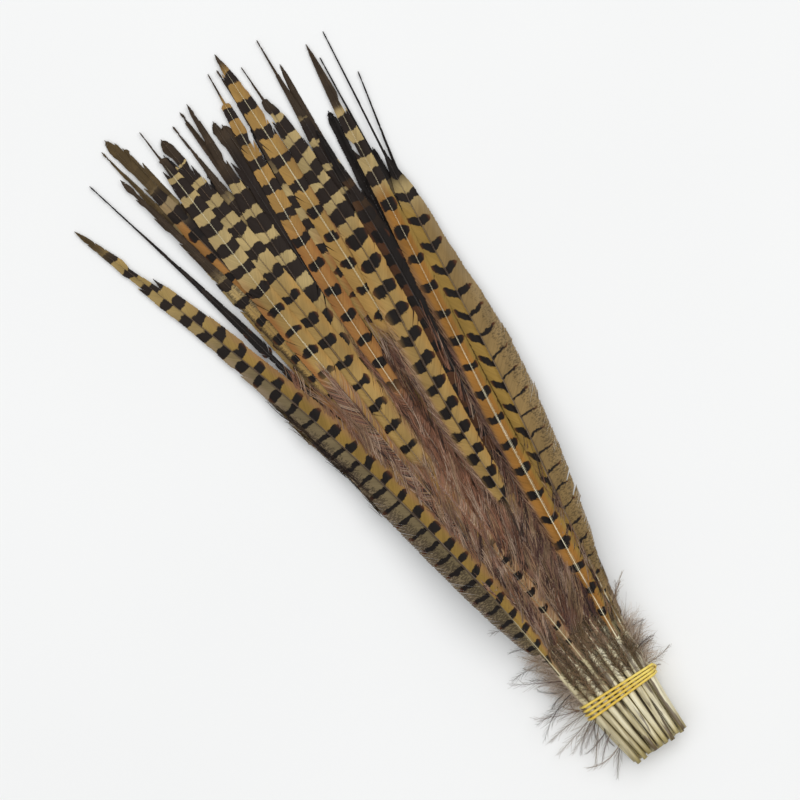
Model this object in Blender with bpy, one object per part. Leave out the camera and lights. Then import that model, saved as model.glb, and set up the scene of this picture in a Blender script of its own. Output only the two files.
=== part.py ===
"""A bunch of cock pheasant tail feathers, lying flat and tied near the cut quills with a rubber band.

The quill ends lie along -Y and the tips along +Y, with +X to the right as seen from above. Each feather is
one solid: a round bare quill that flattens into a ridged shaft with a thin vane on each side. The feathers
are laid one after another, lowest first, each on those below it, and the band goes round all the quills.
"""

import math

import bmesh
import bpy
import numpy as np

MM = 0.001  # every size below is in millimetres, and the meshes are made in metres

# The tie: four layers of quills, side by side in the band
TIE_Y = 28.0  # from the cut ends to the middle of the band
TIE_X = -1.7  # middle of the tie, a little to the left of the cut ends
QUILL_PITCH = 3.4
QUILL_RADIUS = 1.45
CUT_RADIUS = 1.0  # a quill is thinner at its cut end
LAYER_PITCH = 3.3
CROWN = 0.5  # extra pitch of the layers in the middle of the tie, which rounds its top and underside
LAYER_SHIFTS = 0.0, -0.8, 0.8, 0.0  # how far each layer sits aside, so that its quills show between those above
CUT_GATHER = 0.8  # how far the cut ends draw together across the bunch
CUT_GATHER_UP = 0.78  # and from top to bottom

# The band: one closed loop of round rubber that goes four times round
STRAND_RADIUS = 0.45
BAND_LEFT_Y = 24.5, 26.4, 28.3, 30.2  # where the turns lie on the left side of the bunch
BAND_RIGHT_Y = 25.6, 26.8, 28.0, 29.2  # and on the right side, closer together
BAND_TURNS = len(BAND_LEFT_Y)
BAND_ARC = 80  # half degrees between its points where it bends round one quill
STRAND_SIDES = 6
BAND_GAP = 0.3  # between the quills and the band
CROSSING_GAP = 0.25  # between the turns where the last one crosses the others, at the right side
CROSSING_CLIMB = 280, 320  # half degrees between which it climbs onto them, and as many after it leaves them

# The vanes
VANE_START = 54.0  # from the cut ends to the first barbs
LOOSE_FROM = 90.0  # up to here the vanes of a layer keep beside each other, and from here they overlap
LOOSENING = 0.15  # mm that a vane may gain on the middle between two shafts, for each mm from there
TIP_RADIUS = 0.22
VANE_ROOT = 0.5  # thickness of the vane where it leaves the shaft
BARE_EDGE = 0.3  # width of what is left of the vane along a worn bare tip
SHAFT_TAPER = 0.92  # share of the radius lost between the vane's start and the tip
CLEARANCE = 0.34  # between a feather and those below it
STEEPEST_DROOP = 0.34  # how far a vane may hang below its shaft, as a share of its width
STEEPEST_LIFT = 0.62  # and rise above it
APART = 0.75  # between the vanes of neighbours up to there
PASSING = 0.45  # how far above or below its neighbour's shaft a vane's edge starts to pass it
LAYER_SPREAD = 1.3  # the layers' pitch there against their pitch in the tie
LOWEST_SHAFT = 3.4  # and the height of the lowest layer's shafts there
SHAFT_SAG = 0.25  # a shaft dips no deeper than this between two places that hold it up

# A vane's half-width along the vane, as a share of its widest, below the top layer
VANE_SHAPE = (
    (0.0, 0.28), (0.08, 0.46), (0.2, 0.74), (0.34, 0.93), (0.5, 1.0),
    (0.66, 0.97), (0.8, 0.74), (0.91, 0.46), (1.0, 0.16),
)
# Places along a feather where its section is set, first in mm from the cut end, then as shares of the rest
NEAR_STATIONS = 0.0, 28.0, 47.0, 66.0, LOOSE_FROM
FAR_STATIONS = 0.1, 0.21, 0.33, 0.45, 0.58, 0.7, 0.82, 0.92, 1.0
LAST_HELD_STATION = 2  # up to here the quills keep the heights that the tie gives them

# The layers of the tie from the lowest up, each with the places of the feathers that are laid first.
# How each feather lies: its middle line's x at 90, 160 and 230 mm from the cut ends, its tip's x and y,
# the widest half-widths of its left and right vanes, and the length of its worn bare tip. The top layer's
# vanes have outlines of their own instead of widest half-widths.
LAYERS = (
    ("bottom", (1, 3, 5, 7), (
        (-18.0, -25.0, -31.5, -36.0, 268.0, 6.0, 7.0, 0.0),
        (-14.0, -20.5, -27.0, -32.0, 286.0, 7.5, 7.5, 0.0),
        (-9.5, -14.5, -19.0, -23.0, 290.0, 8.0, 8.0, 0.0),
        (-5.0, -8.5, -10.5, -12.0, 276.0, 8.0, 8.0, 0.0),
        (-0.5, -1.0, 0.5, 2.0, 296.0, 8.0, 8.0, 0.0),
        (4.5, 7.5, 10.5, 14.0, 284.0, 8.0, 8.0, 0.0),
        (10.5, 17.0, 25.0, 31.5, 284.0, 6.5, 5.5, 0.0),
        (16.5, 26.0, 33.5, 36.0, 256.0, 7.5, 6.5, 0.0),
    )),
    ("lower", (1, 3, 5, 7), (
        (-20.0, -28.0, -37.5, -52.8, 320.8, 4.5, 6.5, 12.0),
        (-16.0, -23.0, -31.5, -45.0, 317.4, 6.0, 6.5, 0.0),
        (-12.0, -18.0, -24.5, -33.0, 306.0, 7.5, 7.5, 0.0),
        (-8.0, -12.5, -17.5, -23.5, 313.5, 7.5, 6.5, 14.0),
        (-4.0, -8.0, -12.5, -18.0, 316.6, 7.0, 7.0, 0.0),
        (0.0, -1.5, -4.0, -6.8, 303.2, 7.5, 7.5, 0.0),
        (4.5, 4.0, 2.5, 3.6, 322.3, 7.5, 7.0, 16.0),
        (10.0, 16.0, 22.5, 25.0, 250.0, 7.5, 7.5, 0.0),
        (16.0, 25.5, 33.5, 38.0, 262.0, 7.5, 7.5, 0.0),
    )),
    ("upper", (1, 3, 5, 7), (
        (-21.5, -32.5, -45.3, -64.4, 312.2, 3.0, 4.0, 96.0),
        (-17.3, -24.0, -33.1, -49.2, 324.1, 6.5, 8.0, 0.0),
        (-12.5, -15.5, -17.0, -13.9, 317.7, 7.0, 6.0, 0.0),
        (-7.5, -9.5, -11.0, -9.1, 306.2, 7.5, 7.0, 0.0),
        (-1.0, 6.5, 17.0, 23.6, 323.3, 6.5, 6.5, 16.0),
        (4.0, 10.5, 16.8, 25.9, 310.2, 7.0, 6.5, 0.0),
        (9.5, 14.5, 20.8, 23.3, 280.6, 7.5, 7.0, 0.0),
        (15.0, 24.5, 33.5, 40.7, 303.5, 7.0, 6.5, 46.0),
        (19.5, 29.0, 37.5, 50.2, 290.4, 6.5, 6.5, 42.0),
    )),
    ("top", (1, 3, 5, 8), (
        (-23.0, -36.2, -55.3, -79.5, 300.6, None, None, 0.0),
        (-19.0, -27.0, -37.4, -52.8, 307.3, None, None, 0.0),
        (-15.3, -23.2, -29.8, -35.8, 318.9, None, None, 14.0),
        (-10.4, -17.4, -22.3, -30.4, 311.8, None, None, 0.0),
        (-6.0, -7.9, -7.1, -0.2, 323.0, None, None, 14.0),
        (-1.0, 2.0, 4.8, 6.5, 328.0, None, None, 0.0),
        (3.4, 5.0, 12.3, 12.4, 317.8, None, None, 16.0),
        (13.0, 20.7, 29.8, 39.0, 311.0, None, None, 0.0),
        (18.8, 29.6, 37.4, 47.5, 311.5, None, None, 56.0),
    )),
)
# The outlines of the top layer's vanes: half-widths of the left and the right one, after the distance from
# the cut ends
TOP_OUTLINES = (
    ((66, 5.4, 4.6), (80, 7.4, 5.6), (100, 8.8, 6.3), (140, 9.4, 6.4), (160, 8.0, 7.2), (180, 8.2, 6.8),
     (200, 6.2, 5.8), (220, 5.0, 5.4), (240, 4.2, 5.0), (260, 3.6, 4.2), (272, 3.1, 3.0), (281, 2.0, 2.1),
     (300, 0.7, 0.7)),
    ((66, 3.5, 3.5), (140, 3.5, 4.5), (180, 3.5, 5.0), (205, 3.0, 4.5), (220, 3.0, 3.4), (240, 2.8, 2.5),
     (260, 2.0, 1.8), (285, 1.6, 1.5), (304, 1.2, 1.0)),
    ((66, 3.0, 3.0), (120, 4.0, 4.0), (180, 5.0, 4.6), (218, 5.4, 4.2), (240, 5.4, 3.8), (260, 4.8, 4.0),
     (280, 4.1, 4.0), (292, 3.4, 3.2), (304, 2.0, 2.0)),
    ((66, 2.6, 3.2), (90, 3.0, 4.2), (130, 4.0, 5.0), (164, 4.8, 6.0), (190, 5.6, 6.3), (210, 5.6, 5.8),
     (230, 5.0, 5.1), (250, 4.7, 4.8), (270, 4.8, 4.2), (282, 4.2, 3.9), (291, 3.2, 3.3), (302, 2.6, 2.6),
     (311, 2.3, 2.3)),
    ((66, 2.5, 2.5), (100, 3.0, 3.0), (180, 3.2, 3.6), (210, 3.4, 4.0), (230, 3.6, 4.1), (250, 3.5, 3.8),
     (270, 3.4, 3.5), (290, 3.0, 3.0), (309, 1.8, 1.8)),
    ((66, 2.5, 2.5), (100, 3.0, 3.4), (150, 3.6, 4.0), (200, 4.5, 4.5), (230, 4.8, 4.5), (250, 4.2, 4.2),
     (270, 4.1, 3.8), (290, 3.9, 3.5), (306, 3.3, 3.1), (316, 2.5, 2.3), (326, 0.9, 0.8)),
    ((66, 3.0, 3.0), (90, 3.6, 3.2), (110, 4.4, 3.4), (126, 5.6, 4.0), (148, 6.6, 5.0), (180, 6.4, 6.0),
     (205, 6.3, 5.8), (223, 5.2, 5.0), (235, 4.8, 4.7), (250, 4.7, 4.4), (265, 4.1, 4.0), (280, 3.2, 4.2),
     (292, 2.3, 3.6), (301, 1.4, 1.5)),
    ((66, 3.0, 3.9), (90, 4.8, 4.2), (110, 6.0, 3.7), (150, 6.0, 3.4), (170, 4.6, 3.2), (190, 4.3, 3.2),
     (210, 4.5, 3.4), (230, 3.9, 3.3), (250, 3.3, 3.2), (270, 3.1, 3.1), (280, 2.4, 2.5), (290, 1.9, 1.9),
     (300, 1.2, 1.3), (310, 0.5, 0.5)),
    ((66, 1.8, 1.8), (80, 2.6, 4.6), (90, 3.0, 6.8), (110, 3.4, 8.8), (130, 4.2, 9.4), (150, 5.0, 10.4),
     (170, 5.2, 10.3), (190, 5.1, 8.8), (202, 5.0, 7.2), (216, 4.8, 6.2), (232, 4.4, 5.4), (241, 3.4, 4.2),
     (248, 2.0, 2.4), (255, 0.8, 0.8)),
)

# The ground that the feathers are laid on, as a grid of heights
GRID_CELL = 0.25
GRID_LOW = -95.0, -6.0
GRID_COUNT = 660, 1380
SETTLED = 0.03  # a feather is laid when it is no further than this inside its clearance
CHECK_STEP = 0.8  # between the points where a feather is set against the ground
PRINT_STEP = 0.2  # between the points where a laid feather is added to it
SETTLING_ROUNDS = 240
SETTLING_SHARE = 0.22  # of what is missing, made up in each round

FEATHER_COLOUR = 0.42, 0.27, 0.12, 1.0
BAND_COLOUR = 0.83, 0.60, 0.09, 1.0


def clear_scene():
    for thing in list(bpy.data.objects):
        bpy.data.objects.remove(thing, do_unlink=True)


def material(name, colour, roughness):
    made = bpy.data.materials.new(name)
    made.use_nodes = True
    shader = made.node_tree.nodes["Principled BSDF"]
    shader.inputs["Base Color"].default_value = colour
    shader.inputs["Roughness"].default_value = roughness
    return made


def line_through(places, heights):
    """A smooth function through (places, heights), with the slope at each taken from its neighbours."""
    places = np.array(places)
    heights = np.array(heights)
    slopes = np.gradient(heights, places)

    def at(y):
        step = np.clip(np.searchsorted(places, y) - 1, 0, len(places) - 2)
        span = places[step + 1] - places[step]
        t = (y - places[step]) / span
        from_low = (2 * t**3 - 3 * t**2 + 1) * heights[step] + (t**3 - 2 * t**2 + t) * span * slopes[step]
        to_high = (3 * t**2 - 2 * t**3) * heights[step + 1] + (t**3 - t**2) * span * slopes[step + 1]
        return from_low + to_high

    return at


def slot(layer, place, count):
    """Where a quill passes through the band: x and height, with the lowest quill just above the band."""
    across = place - (count - 1) / 2
    crowned = LAYER_PITCH + CROWN * (1 - (across / 4) ** 2)
    middle = 2 * STRAND_RADIUS + CLEARANCE + QUILL_RADIUS + (LAYER_PITCH + CROWN) * (len(LAYERS) - 1) / 2
    return TIE_X + across * QUILL_PITCH + LAYER_SHIFTS[layer], middle + (layer - (len(LAYERS) - 1) / 2) * crowned


def tie_middle():
    low = slot(0, 0, 1)[1]
    high = slot(len(LAYERS) - 1, 0, 1)[1]
    return (low + high) / 2


def middle_line(layer, place):
    """A feather's middle line, as x for any distance from the cut ends."""
    lines = LAYERS[layer][2]
    at_90, at_160, at_230, tip_x, tip_y = lines[place][:5]
    tie_x = slot(layer, place, len(lines))[0]
    cut_x = (tie_x - TIE_X) * CUT_GATHER
    return line_through((0.0, TIE_Y, 90.0, 160.0, 230.0, tip_y), (cut_x, tie_x, at_90, at_160, at_230, tip_x))


class Ground:
    """Heights of the surface, and of the feathers laid on it so far."""

    def __init__(self):
        self.height = np.full(GRID_COUNT, -CLEARANCE)

    def cells(self, x, y):
        column = ((x - GRID_LOW[0]) / GRID_CELL).astype(int)
        row = ((y - GRID_LOW[1]) / GRID_CELL).astype(int)
        return column, row

    def under(self, x, y):
        """The highest ground in the cell of each point and the eight round it."""
        column, row = self.cells(x, y)
        found = self.height[column, row]
        for left in (-1, 0, 1):
            for back in (-1, 0, 1):
                found = np.maximum(found, self.height[column + left, row + back])
        return found

    def add(self, x, y, z):
        np.maximum.at(self.height, self.cells(x, y), z)


class Feather:
    """One feather's sections. Its heights are its left edge, shaft and right edge at each station."""

    def __init__(self, layer, place, laid_first):
        layer_name, _, lines = LAYERS[layer]
        self.name = f"feather_{layer_name}_{place + 1}"
        self.tip_y = lines[place][4]
        self.widths = lines[place][5:7]
        self.outline = TOP_OUTLINES[place] if self.widths[0] is None else None
        self.vane_end = self.tip_y - lines[place][7]
        self.middle = middle_line(layer, place)
        self.beside = [
            middle_line(layer, near) if 0 <= near < len(lines) else None for near in (place - 1, place + 1)
        ]
        tie_z = slot(layer, place, len(lines))[1]
        cut_z = tie_middle() + (tie_z - tie_middle()) * CUT_GATHER_UP
        loose_z = LOWEST_SHAFT + layer * LAYER_PITCH * LAYER_SPREAD
        far = [NEAR_STATIONS[-1] + share * (self.tip_y - NEAR_STATIONS[-1]) for share in FAR_STATIONS]
        self.stations = list(NEAR_STATIONS) + far
        rows = len(self.stations)
        self.radii = np.array([self.radius(y) for y in self.stations])
        self.plan = np.array([self.section_plan(y) for y in self.stations])
        self.spread = np.array([[self.half_width(y, side) for side in (0, 1)] for y in self.stations])
        self.heights = np.zeros((rows, 3))
        for i, y in enumerate(self.stations):
            if y <= LOOSE_FROM:
                shaft = float(np.interp(y, (0.0, TIE_Y, LOOSE_FROM), (cut_z, tie_z, loose_z)))
            else:
                shaft = self.radii[i]
            passing = self.radii[i] + PASSING if y >= LOOSE_FROM else 0.0
            edge = max(0.0, shaft - passing) if laid_first else shaft + passing
            self.heights[i] = edge, shaft, edge
        self.held = np.zeros((rows, 3), bool)
        self.held[: LAST_HELD_STATION + 1] = True

    def radius(self, y):
        if y < TIE_Y:
            return CUT_RADIUS + (QUILL_RADIUS - CUT_RADIUS) * y / TIE_Y
        along = min(max((y - TIE_Y) / (self.tip_y - TIE_Y), 0.0), 1.0)
        return QUILL_RADIUS * (1 - SHAFT_TAPER * along**1.15) + TIP_RADIUS * along

    def half_width(self, y, side):
        """Half-width of the vane at y, which is never less than the shaft's."""
        radius = self.radius(y)
        if y <= VANE_START:
            return radius
        along = (y - VANE_START) / (self.vane_end - VANE_START)
        if along > 1:
            return radius + BARE_EDGE
        if self.outline:
            places, *widths = zip(*self.outline)
            width = float(np.interp(y, places, widths[side]))
        else:
            shares, widths = zip(*VANE_SHAPE)
            width = self.widths[side] * float(np.interp(along, shares, widths))
        if self.beside[side]:
            apart = abs(self.beside[side](y) - self.middle(y))
            width = min(width, (apart - APART) / 2 + LOOSENING * max(0.0, y - LOOSE_FROM))
        return max(radius + BARE_EDGE, width)

    def section_plan(self, y):
        """The eight points of a section as seen from above: left edge, over the top to the right edge, and back."""
        before = max(y - 1.0, 0.0)
        after = min(y + 1.0, self.tip_y)
        slope = (self.middle(after) - self.middle(before)) / (after - before)
        length = math.hypot(1.0, slope)
        across = np.array((1.0, -slope)) / length
        centre = np.array((self.middle(y), y))
        radius = self.radius(y)
        root = radius * (math.sqrt(0.5) if y <= VANE_START else 1.0)
        left = self.half_width(y, 0)
        right = self.half_width(y, 1)
        return [centre + across * reach for reach in (-left, -root, 0.0, root, right, root, 0.0, -root)]

    def rise(self, i):
        """How far each point of a section lies above its shaft's middle. Edges are set by their own height."""
        radius = self.radii[i]
        if self.stations[i] <= VANE_START:
            root = radius * math.sqrt(0.5)
        else:
            root = min(VANE_ROOT / 2, radius * 0.6)
        return np.array((0.0, root, radius, root, 0.0, -root, -radius, -root))

    def points(self):
        """Every vertex, eight to a station."""
        made = []
        for i in range(len(self.stations)):
            left, shaft, right = self.heights[i]
            level = np.array((left, shaft, shaft, shaft, right, shaft, shaft, shaft)) + self.rise(i)
            made.append(np.column_stack((self.plan[i], level)))
        return np.concatenate(made)

    def faces(self, points_from, points_to):
        """Triangles between the stations for the stretch of the section from one point to another.

        The diagonals of the underside lie right below those of the top, so a twisted vane keeps its thickness.
        """
        made = []
        for i in range(len(self.stations) - 1):
            for j in range(points_from, points_to):
                here, beside = 8 * i + j, 8 * i + (j + 1) % 8
                ahead, across = here + 8, beside + 8
                if j < 4:
                    made += [(here, beside, ahead), (beside, across, ahead)]
                else:
                    made += [(here, beside, across), (here, across, ahead)]
        return made

    def control(self):
        """For each vertex, which of the heights sets it."""
        sets = (0, 1, 1, 1, 2, 1, 1, 1)
        return np.array([3 * i + j for i in range(len(self.stations)) for j in sets])


def spread_points(points, faces, step):
    """Points all over the triangles, no further than step apart: their triangles and their shares of its corners."""
    owners = []
    shares = []
    for number, face in enumerate(faces):
        corners = points[list(face), :2]
        longest = max(np.linalg.norm(corners[a] - corners[b]) for a, b in ((0, 1), (1, 2), (2, 0)))
        parts = max(1, math.ceil(longest / step))
        first, second = np.meshgrid(np.arange(parts + 1), np.arange(parts + 1), indexing="ij")
        inside = first + second <= parts
        first, second = first[inside] / parts, second[inside] / parts
        shares.append(np.column_stack((1 - first - second, first, second)))
        owners.append(np.full(len(first), number))
    return np.concatenate(owners), np.concatenate(shares)


def lay(feather, ground):
    """Raises the feather's heights until it clears the ground everywhere."""
    points = feather.points()
    faces = np.array(feather.faces(4, 8))
    owners, shares = spread_points(points, faces, CHECK_STEP)
    corners = faces[owners]
    places = np.einsum("ij,ijk->ik", shares, points[corners][:, :, :2])
    checked = places[:, 1] > VANE_START
    corners, shares, places = corners[checked], shares[checked], places[checked]
    ground_height = ground.under(places[:, 0], places[:, 1]) + CLEARANCE
    controls = feather.control()
    count = feather.heights.size
    weights = np.zeros((len(places), count))
    for corner in range(3):
        np.add.at(weights, (np.arange(len(places)), controls[corners[:, corner]]), shares[:, corner])
    free = ~feather.held.reshape(-1)
    weights_free = weights * free
    strength = (weights_free**2).sum(axis=1)
    usable = strength > 0.02
    widths = feather.spread
    for _ in range(SETTLING_ROUNDS):
        heights = feather.points()[:, 2]
        level = np.einsum("ij,ij->i", shares, heights[corners])
        short = np.where(usable, ground_height - level, 0.0)
        low = short > SETTLED
        if low.any():
            lift = weights_free[low] * (short[low] / strength[low])[:, None]
            feather.heights += SETTLING_SHARE * lift.max(axis=0).reshape(feather.heights.shape)
        stiffen(feather, widths)
        if not low.any():
            break


def stiffen(feather, widths):
    """Lifts what a real feather's stiffness would: dips of the shaft, and vanes bent too far from it."""
    heights = feather.heights
    stations = feather.stations
    for i in range(LAST_HELD_STATION + 1, len(stations) - 1):
        before, here, after = stations[i - 1 : i + 2]
        along = (here - before) / (after - before)
        straight = heights[i - 1, 1] * (1 - along) + heights[i + 1, 1] * along
        heights[i, 1] = max(heights[i, 1], straight - SHAFT_SAG)
    for i in range(LAST_HELD_STATION + 1, len(stations)):
        for edge, side in ((0, 0), (2, 1)):
            heights[i, 1] = max(heights[i, 1], heights[i, edge] - STEEPEST_LIFT * widths[i, side])
            heights[i, edge] = max(heights[i, edge], heights[i, 1] - STEEPEST_DROOP * widths[i, side])


def print_on(feather, ground):
    """Adds the laid feather's top to the ground."""
    points = feather.points()
    faces = np.array(feather.faces(0, 4))
    owners, shares = spread_points(points, faces, PRINT_STEP)
    spots = np.einsum("ij,ijk->ik", shares, points[faces[owners]])
    ground.add(spots[:, 0], spots[:, 1], spots[:, 2])


def object_from(name, points, faces, finish, collection, angle):
    mesh = bpy.data.meshes.new(name)
    shape = bmesh.new()
    vertices = [shape.verts.new(point) for point in points]
    for face in faces:
        shape.faces.new([vertices[corner] for corner in face])
    shape.to_mesh(mesh)
    shape.free()
    mesh.materials.append(finish)
    mesh.shade_smooth()
    mesh.set_sharp_from_angle(angle=math.radians(angle))
    made = bpy.data.objects.new(name, mesh)
    collection.objects.link(made)
    return made


def closed_faces(feather):
    last = 8 * (len(feather.stations) - 1)
    ends = [tuple(reversed(range(8))), tuple(range(last, last + 8))]
    return feather.faces(0, 8) + ends


def band_loop():
    """The middle line of the rubber strand: turns side by side, the last of which crosses the others at the right."""
    quills = []
    for layer, (_, _, lines) in enumerate(LAYERS):
        quills += [slot(layer, place, len(lines)) for place in range(len(lines))]
    quills = np.array(quills)
    highest = quills[:, 1].max() - 1.0
    lowest = quills[:, 1].min()
    grown = QUILL_RADIUS + BAND_GAP + STRAND_RADIUS
    left = quills[:, 0].min() - grown
    right = quills[:, 0].max() + grown
    # in half degrees: from the left over the top to the right, and back underneath
    steps = np.arange(720)
    outward = np.column_stack((-np.cos(np.radians(steps / 2)), np.sin(np.radians(steps / 2))))
    touched = np.argmax(outward @ quills.T, axis=1)
    kept = (touched != np.roll(touched, 1)) | (touched != np.roll(touched, -1)) | (steps % BAND_ARC == 0)
    past_first = 2 * BAND_RIGHT_Y[0] - BAND_RIGHT_Y[1]
    points = []
    for turn in range(BAND_TURNS):
        last = turn == BAND_TURNS - 1
        for step in steps[kept]:
            before_right = min(step, 720 - step)
            crossing = float(np.interp(before_right, CROSSING_CLIMB, (0.0, 1.0))) if last else 0.0
            reach = grown + crossing * (2 * STRAND_RADIUS + CROSSING_GAP)
            x, z = quills[touched[step]] + reach * outward[step]
            share = min(max((x - left) / (right - left), 0.0), 1.0)
            left_y = BAND_LEFT_Y[turn if step <= 360 else (turn + 1) % BAND_TURNS]
            right_y = BAND_RIGHT_Y[turn]
            if last:
                passed = min(max((highest - z) / (highest - lowest), 0.0), 1.0) if step > 180 else 0.0
                right_y += (past_first - right_y) * passed
            points.append((x, left_y + (right_y - left_y) * share, z))
    return np.array(points)


def make_band():
    """A closed tube of six sides along the loop."""
    loop = band_loop()
    count = len(loop)
    points = []
    for i in range(count):
        ahead = loop[(i + 1) % count] - loop[i - 1]
        ahead /= np.linalg.norm(ahead)
        side = np.cross(ahead, (0.0, 1.0, 0.0))
        side /= np.linalg.norm(side)
        along = np.cross(side, ahead)
        for j in range(STRAND_SIDES):
            turn = 2 * math.pi * (j + 0.5) / STRAND_SIDES
            points.append(loop[i] + STRAND_RADIUS * (math.cos(turn) * along + math.sin(turn) * side))
    faces = []
    for i in range(count):
        for j in range(STRAND_SIDES):
            here, beside = STRAND_SIDES * i + j, STRAND_SIDES * i + (j + 1) % STRAND_SIDES
            ahead = STRAND_SIDES * ((i + 1) % count) + j
            across = STRAND_SIDES * ((i + 1) % count) + (j + 1) % STRAND_SIDES
            faces.append((here, beside, across, ahead))
    return points, faces


def main():
    clear_scene()
    collection = bpy.data.collections.new("pheasant_feather_bunch")
    bpy.context.scene.collection.children.link(collection)
    feather_finish = material("feather", FEATHER_COLOUR, 0.6)
    band_finish = material("band_rubber", BAND_COLOUR, 0.55)
    ground = Ground()
    made = []
    for layer, (_, laid_first, lines) in enumerate(LAYERS):
        laid_last = [place for place in range(len(lines)) if place not in laid_first]
        for place in (*laid_first, *laid_last):
            feather = Feather(layer, place, place in laid_first)
            lay(feather, ground)
            print_on(feather, ground)
            made.append((feather.name, feather.points(), closed_faces(feather), feather_finish, 50))
    band_points, band_faces = make_band()
    made.append(("rubber_band", np.array(band_points), band_faces, band_finish, 70))
    everything = np.concatenate([points for _, points, _, _, _ in made])
    low = everything.min(axis=0)
    high = everything.max(axis=0)
    origin = np.array(((low[0] + high[0]) / 2, (low[1] + high[1]) / 2, low[2]))
    for name, points, faces, finish, angle in made:
        object_from(name, (points - origin) * MM, faces, finish, collection, angle)


main()
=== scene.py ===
# %% [markdown]
# # A tied bunch of pheasant tail feathers
#
# Thirty-five tail feathers lie in a flat fan. Their quills are cut level and held by a thin rubber band.
# The CAD model holds each feather as one plain solid: a quill, a shaft and two thin vanes, laid one on
# another. Here each solid is replaced by a feather made the way a feather grows: a tapering shaft that
# carries hundreds of separate barbs. A texture on a flat sheet would be lighter, but it can't split, fray
# or lift at its edges.

import math

import bpy
import numpy as np
from mathutils.bvhtree import BVHTree
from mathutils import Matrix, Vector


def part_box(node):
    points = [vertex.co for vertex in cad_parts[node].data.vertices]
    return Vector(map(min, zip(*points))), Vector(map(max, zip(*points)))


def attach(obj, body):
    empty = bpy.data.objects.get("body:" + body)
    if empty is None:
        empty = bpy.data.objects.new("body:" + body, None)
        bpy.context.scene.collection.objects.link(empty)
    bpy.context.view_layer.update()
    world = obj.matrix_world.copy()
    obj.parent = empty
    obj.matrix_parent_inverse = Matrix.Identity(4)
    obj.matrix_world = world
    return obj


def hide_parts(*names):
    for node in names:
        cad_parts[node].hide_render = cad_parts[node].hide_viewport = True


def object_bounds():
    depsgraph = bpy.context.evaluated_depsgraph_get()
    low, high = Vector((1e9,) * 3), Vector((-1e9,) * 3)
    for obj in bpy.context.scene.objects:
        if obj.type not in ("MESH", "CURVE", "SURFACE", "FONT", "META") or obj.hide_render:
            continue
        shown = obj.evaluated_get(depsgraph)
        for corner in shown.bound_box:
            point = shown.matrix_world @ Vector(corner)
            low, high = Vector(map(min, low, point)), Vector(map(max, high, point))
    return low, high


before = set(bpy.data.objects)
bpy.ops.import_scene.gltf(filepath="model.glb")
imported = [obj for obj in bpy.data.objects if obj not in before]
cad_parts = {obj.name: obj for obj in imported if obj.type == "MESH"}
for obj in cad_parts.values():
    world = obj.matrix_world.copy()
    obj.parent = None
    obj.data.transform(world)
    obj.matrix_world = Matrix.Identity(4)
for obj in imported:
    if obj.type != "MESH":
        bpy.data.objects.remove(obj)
cad_low, cad_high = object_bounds()
MM = 0.001
print("feathers and band:", len(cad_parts), "nodes")

# %% [markdown]
# ## Where each feather lies
#
# The solids were laid from this table, so the barbs follow the same lines. Each row is one feather, in
# millimetres: where its middle line is at 90, 160 and 230 mm from the cut ends, where its tip is, how wide
# its left and right vanes are, and how much of its tip is worn bare. The top feathers, which show most,
# have full outlines instead of two widths. Measuring the lines back from the solids would work too, but the
# few numbers that shaped them are exact and easier to read.

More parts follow.
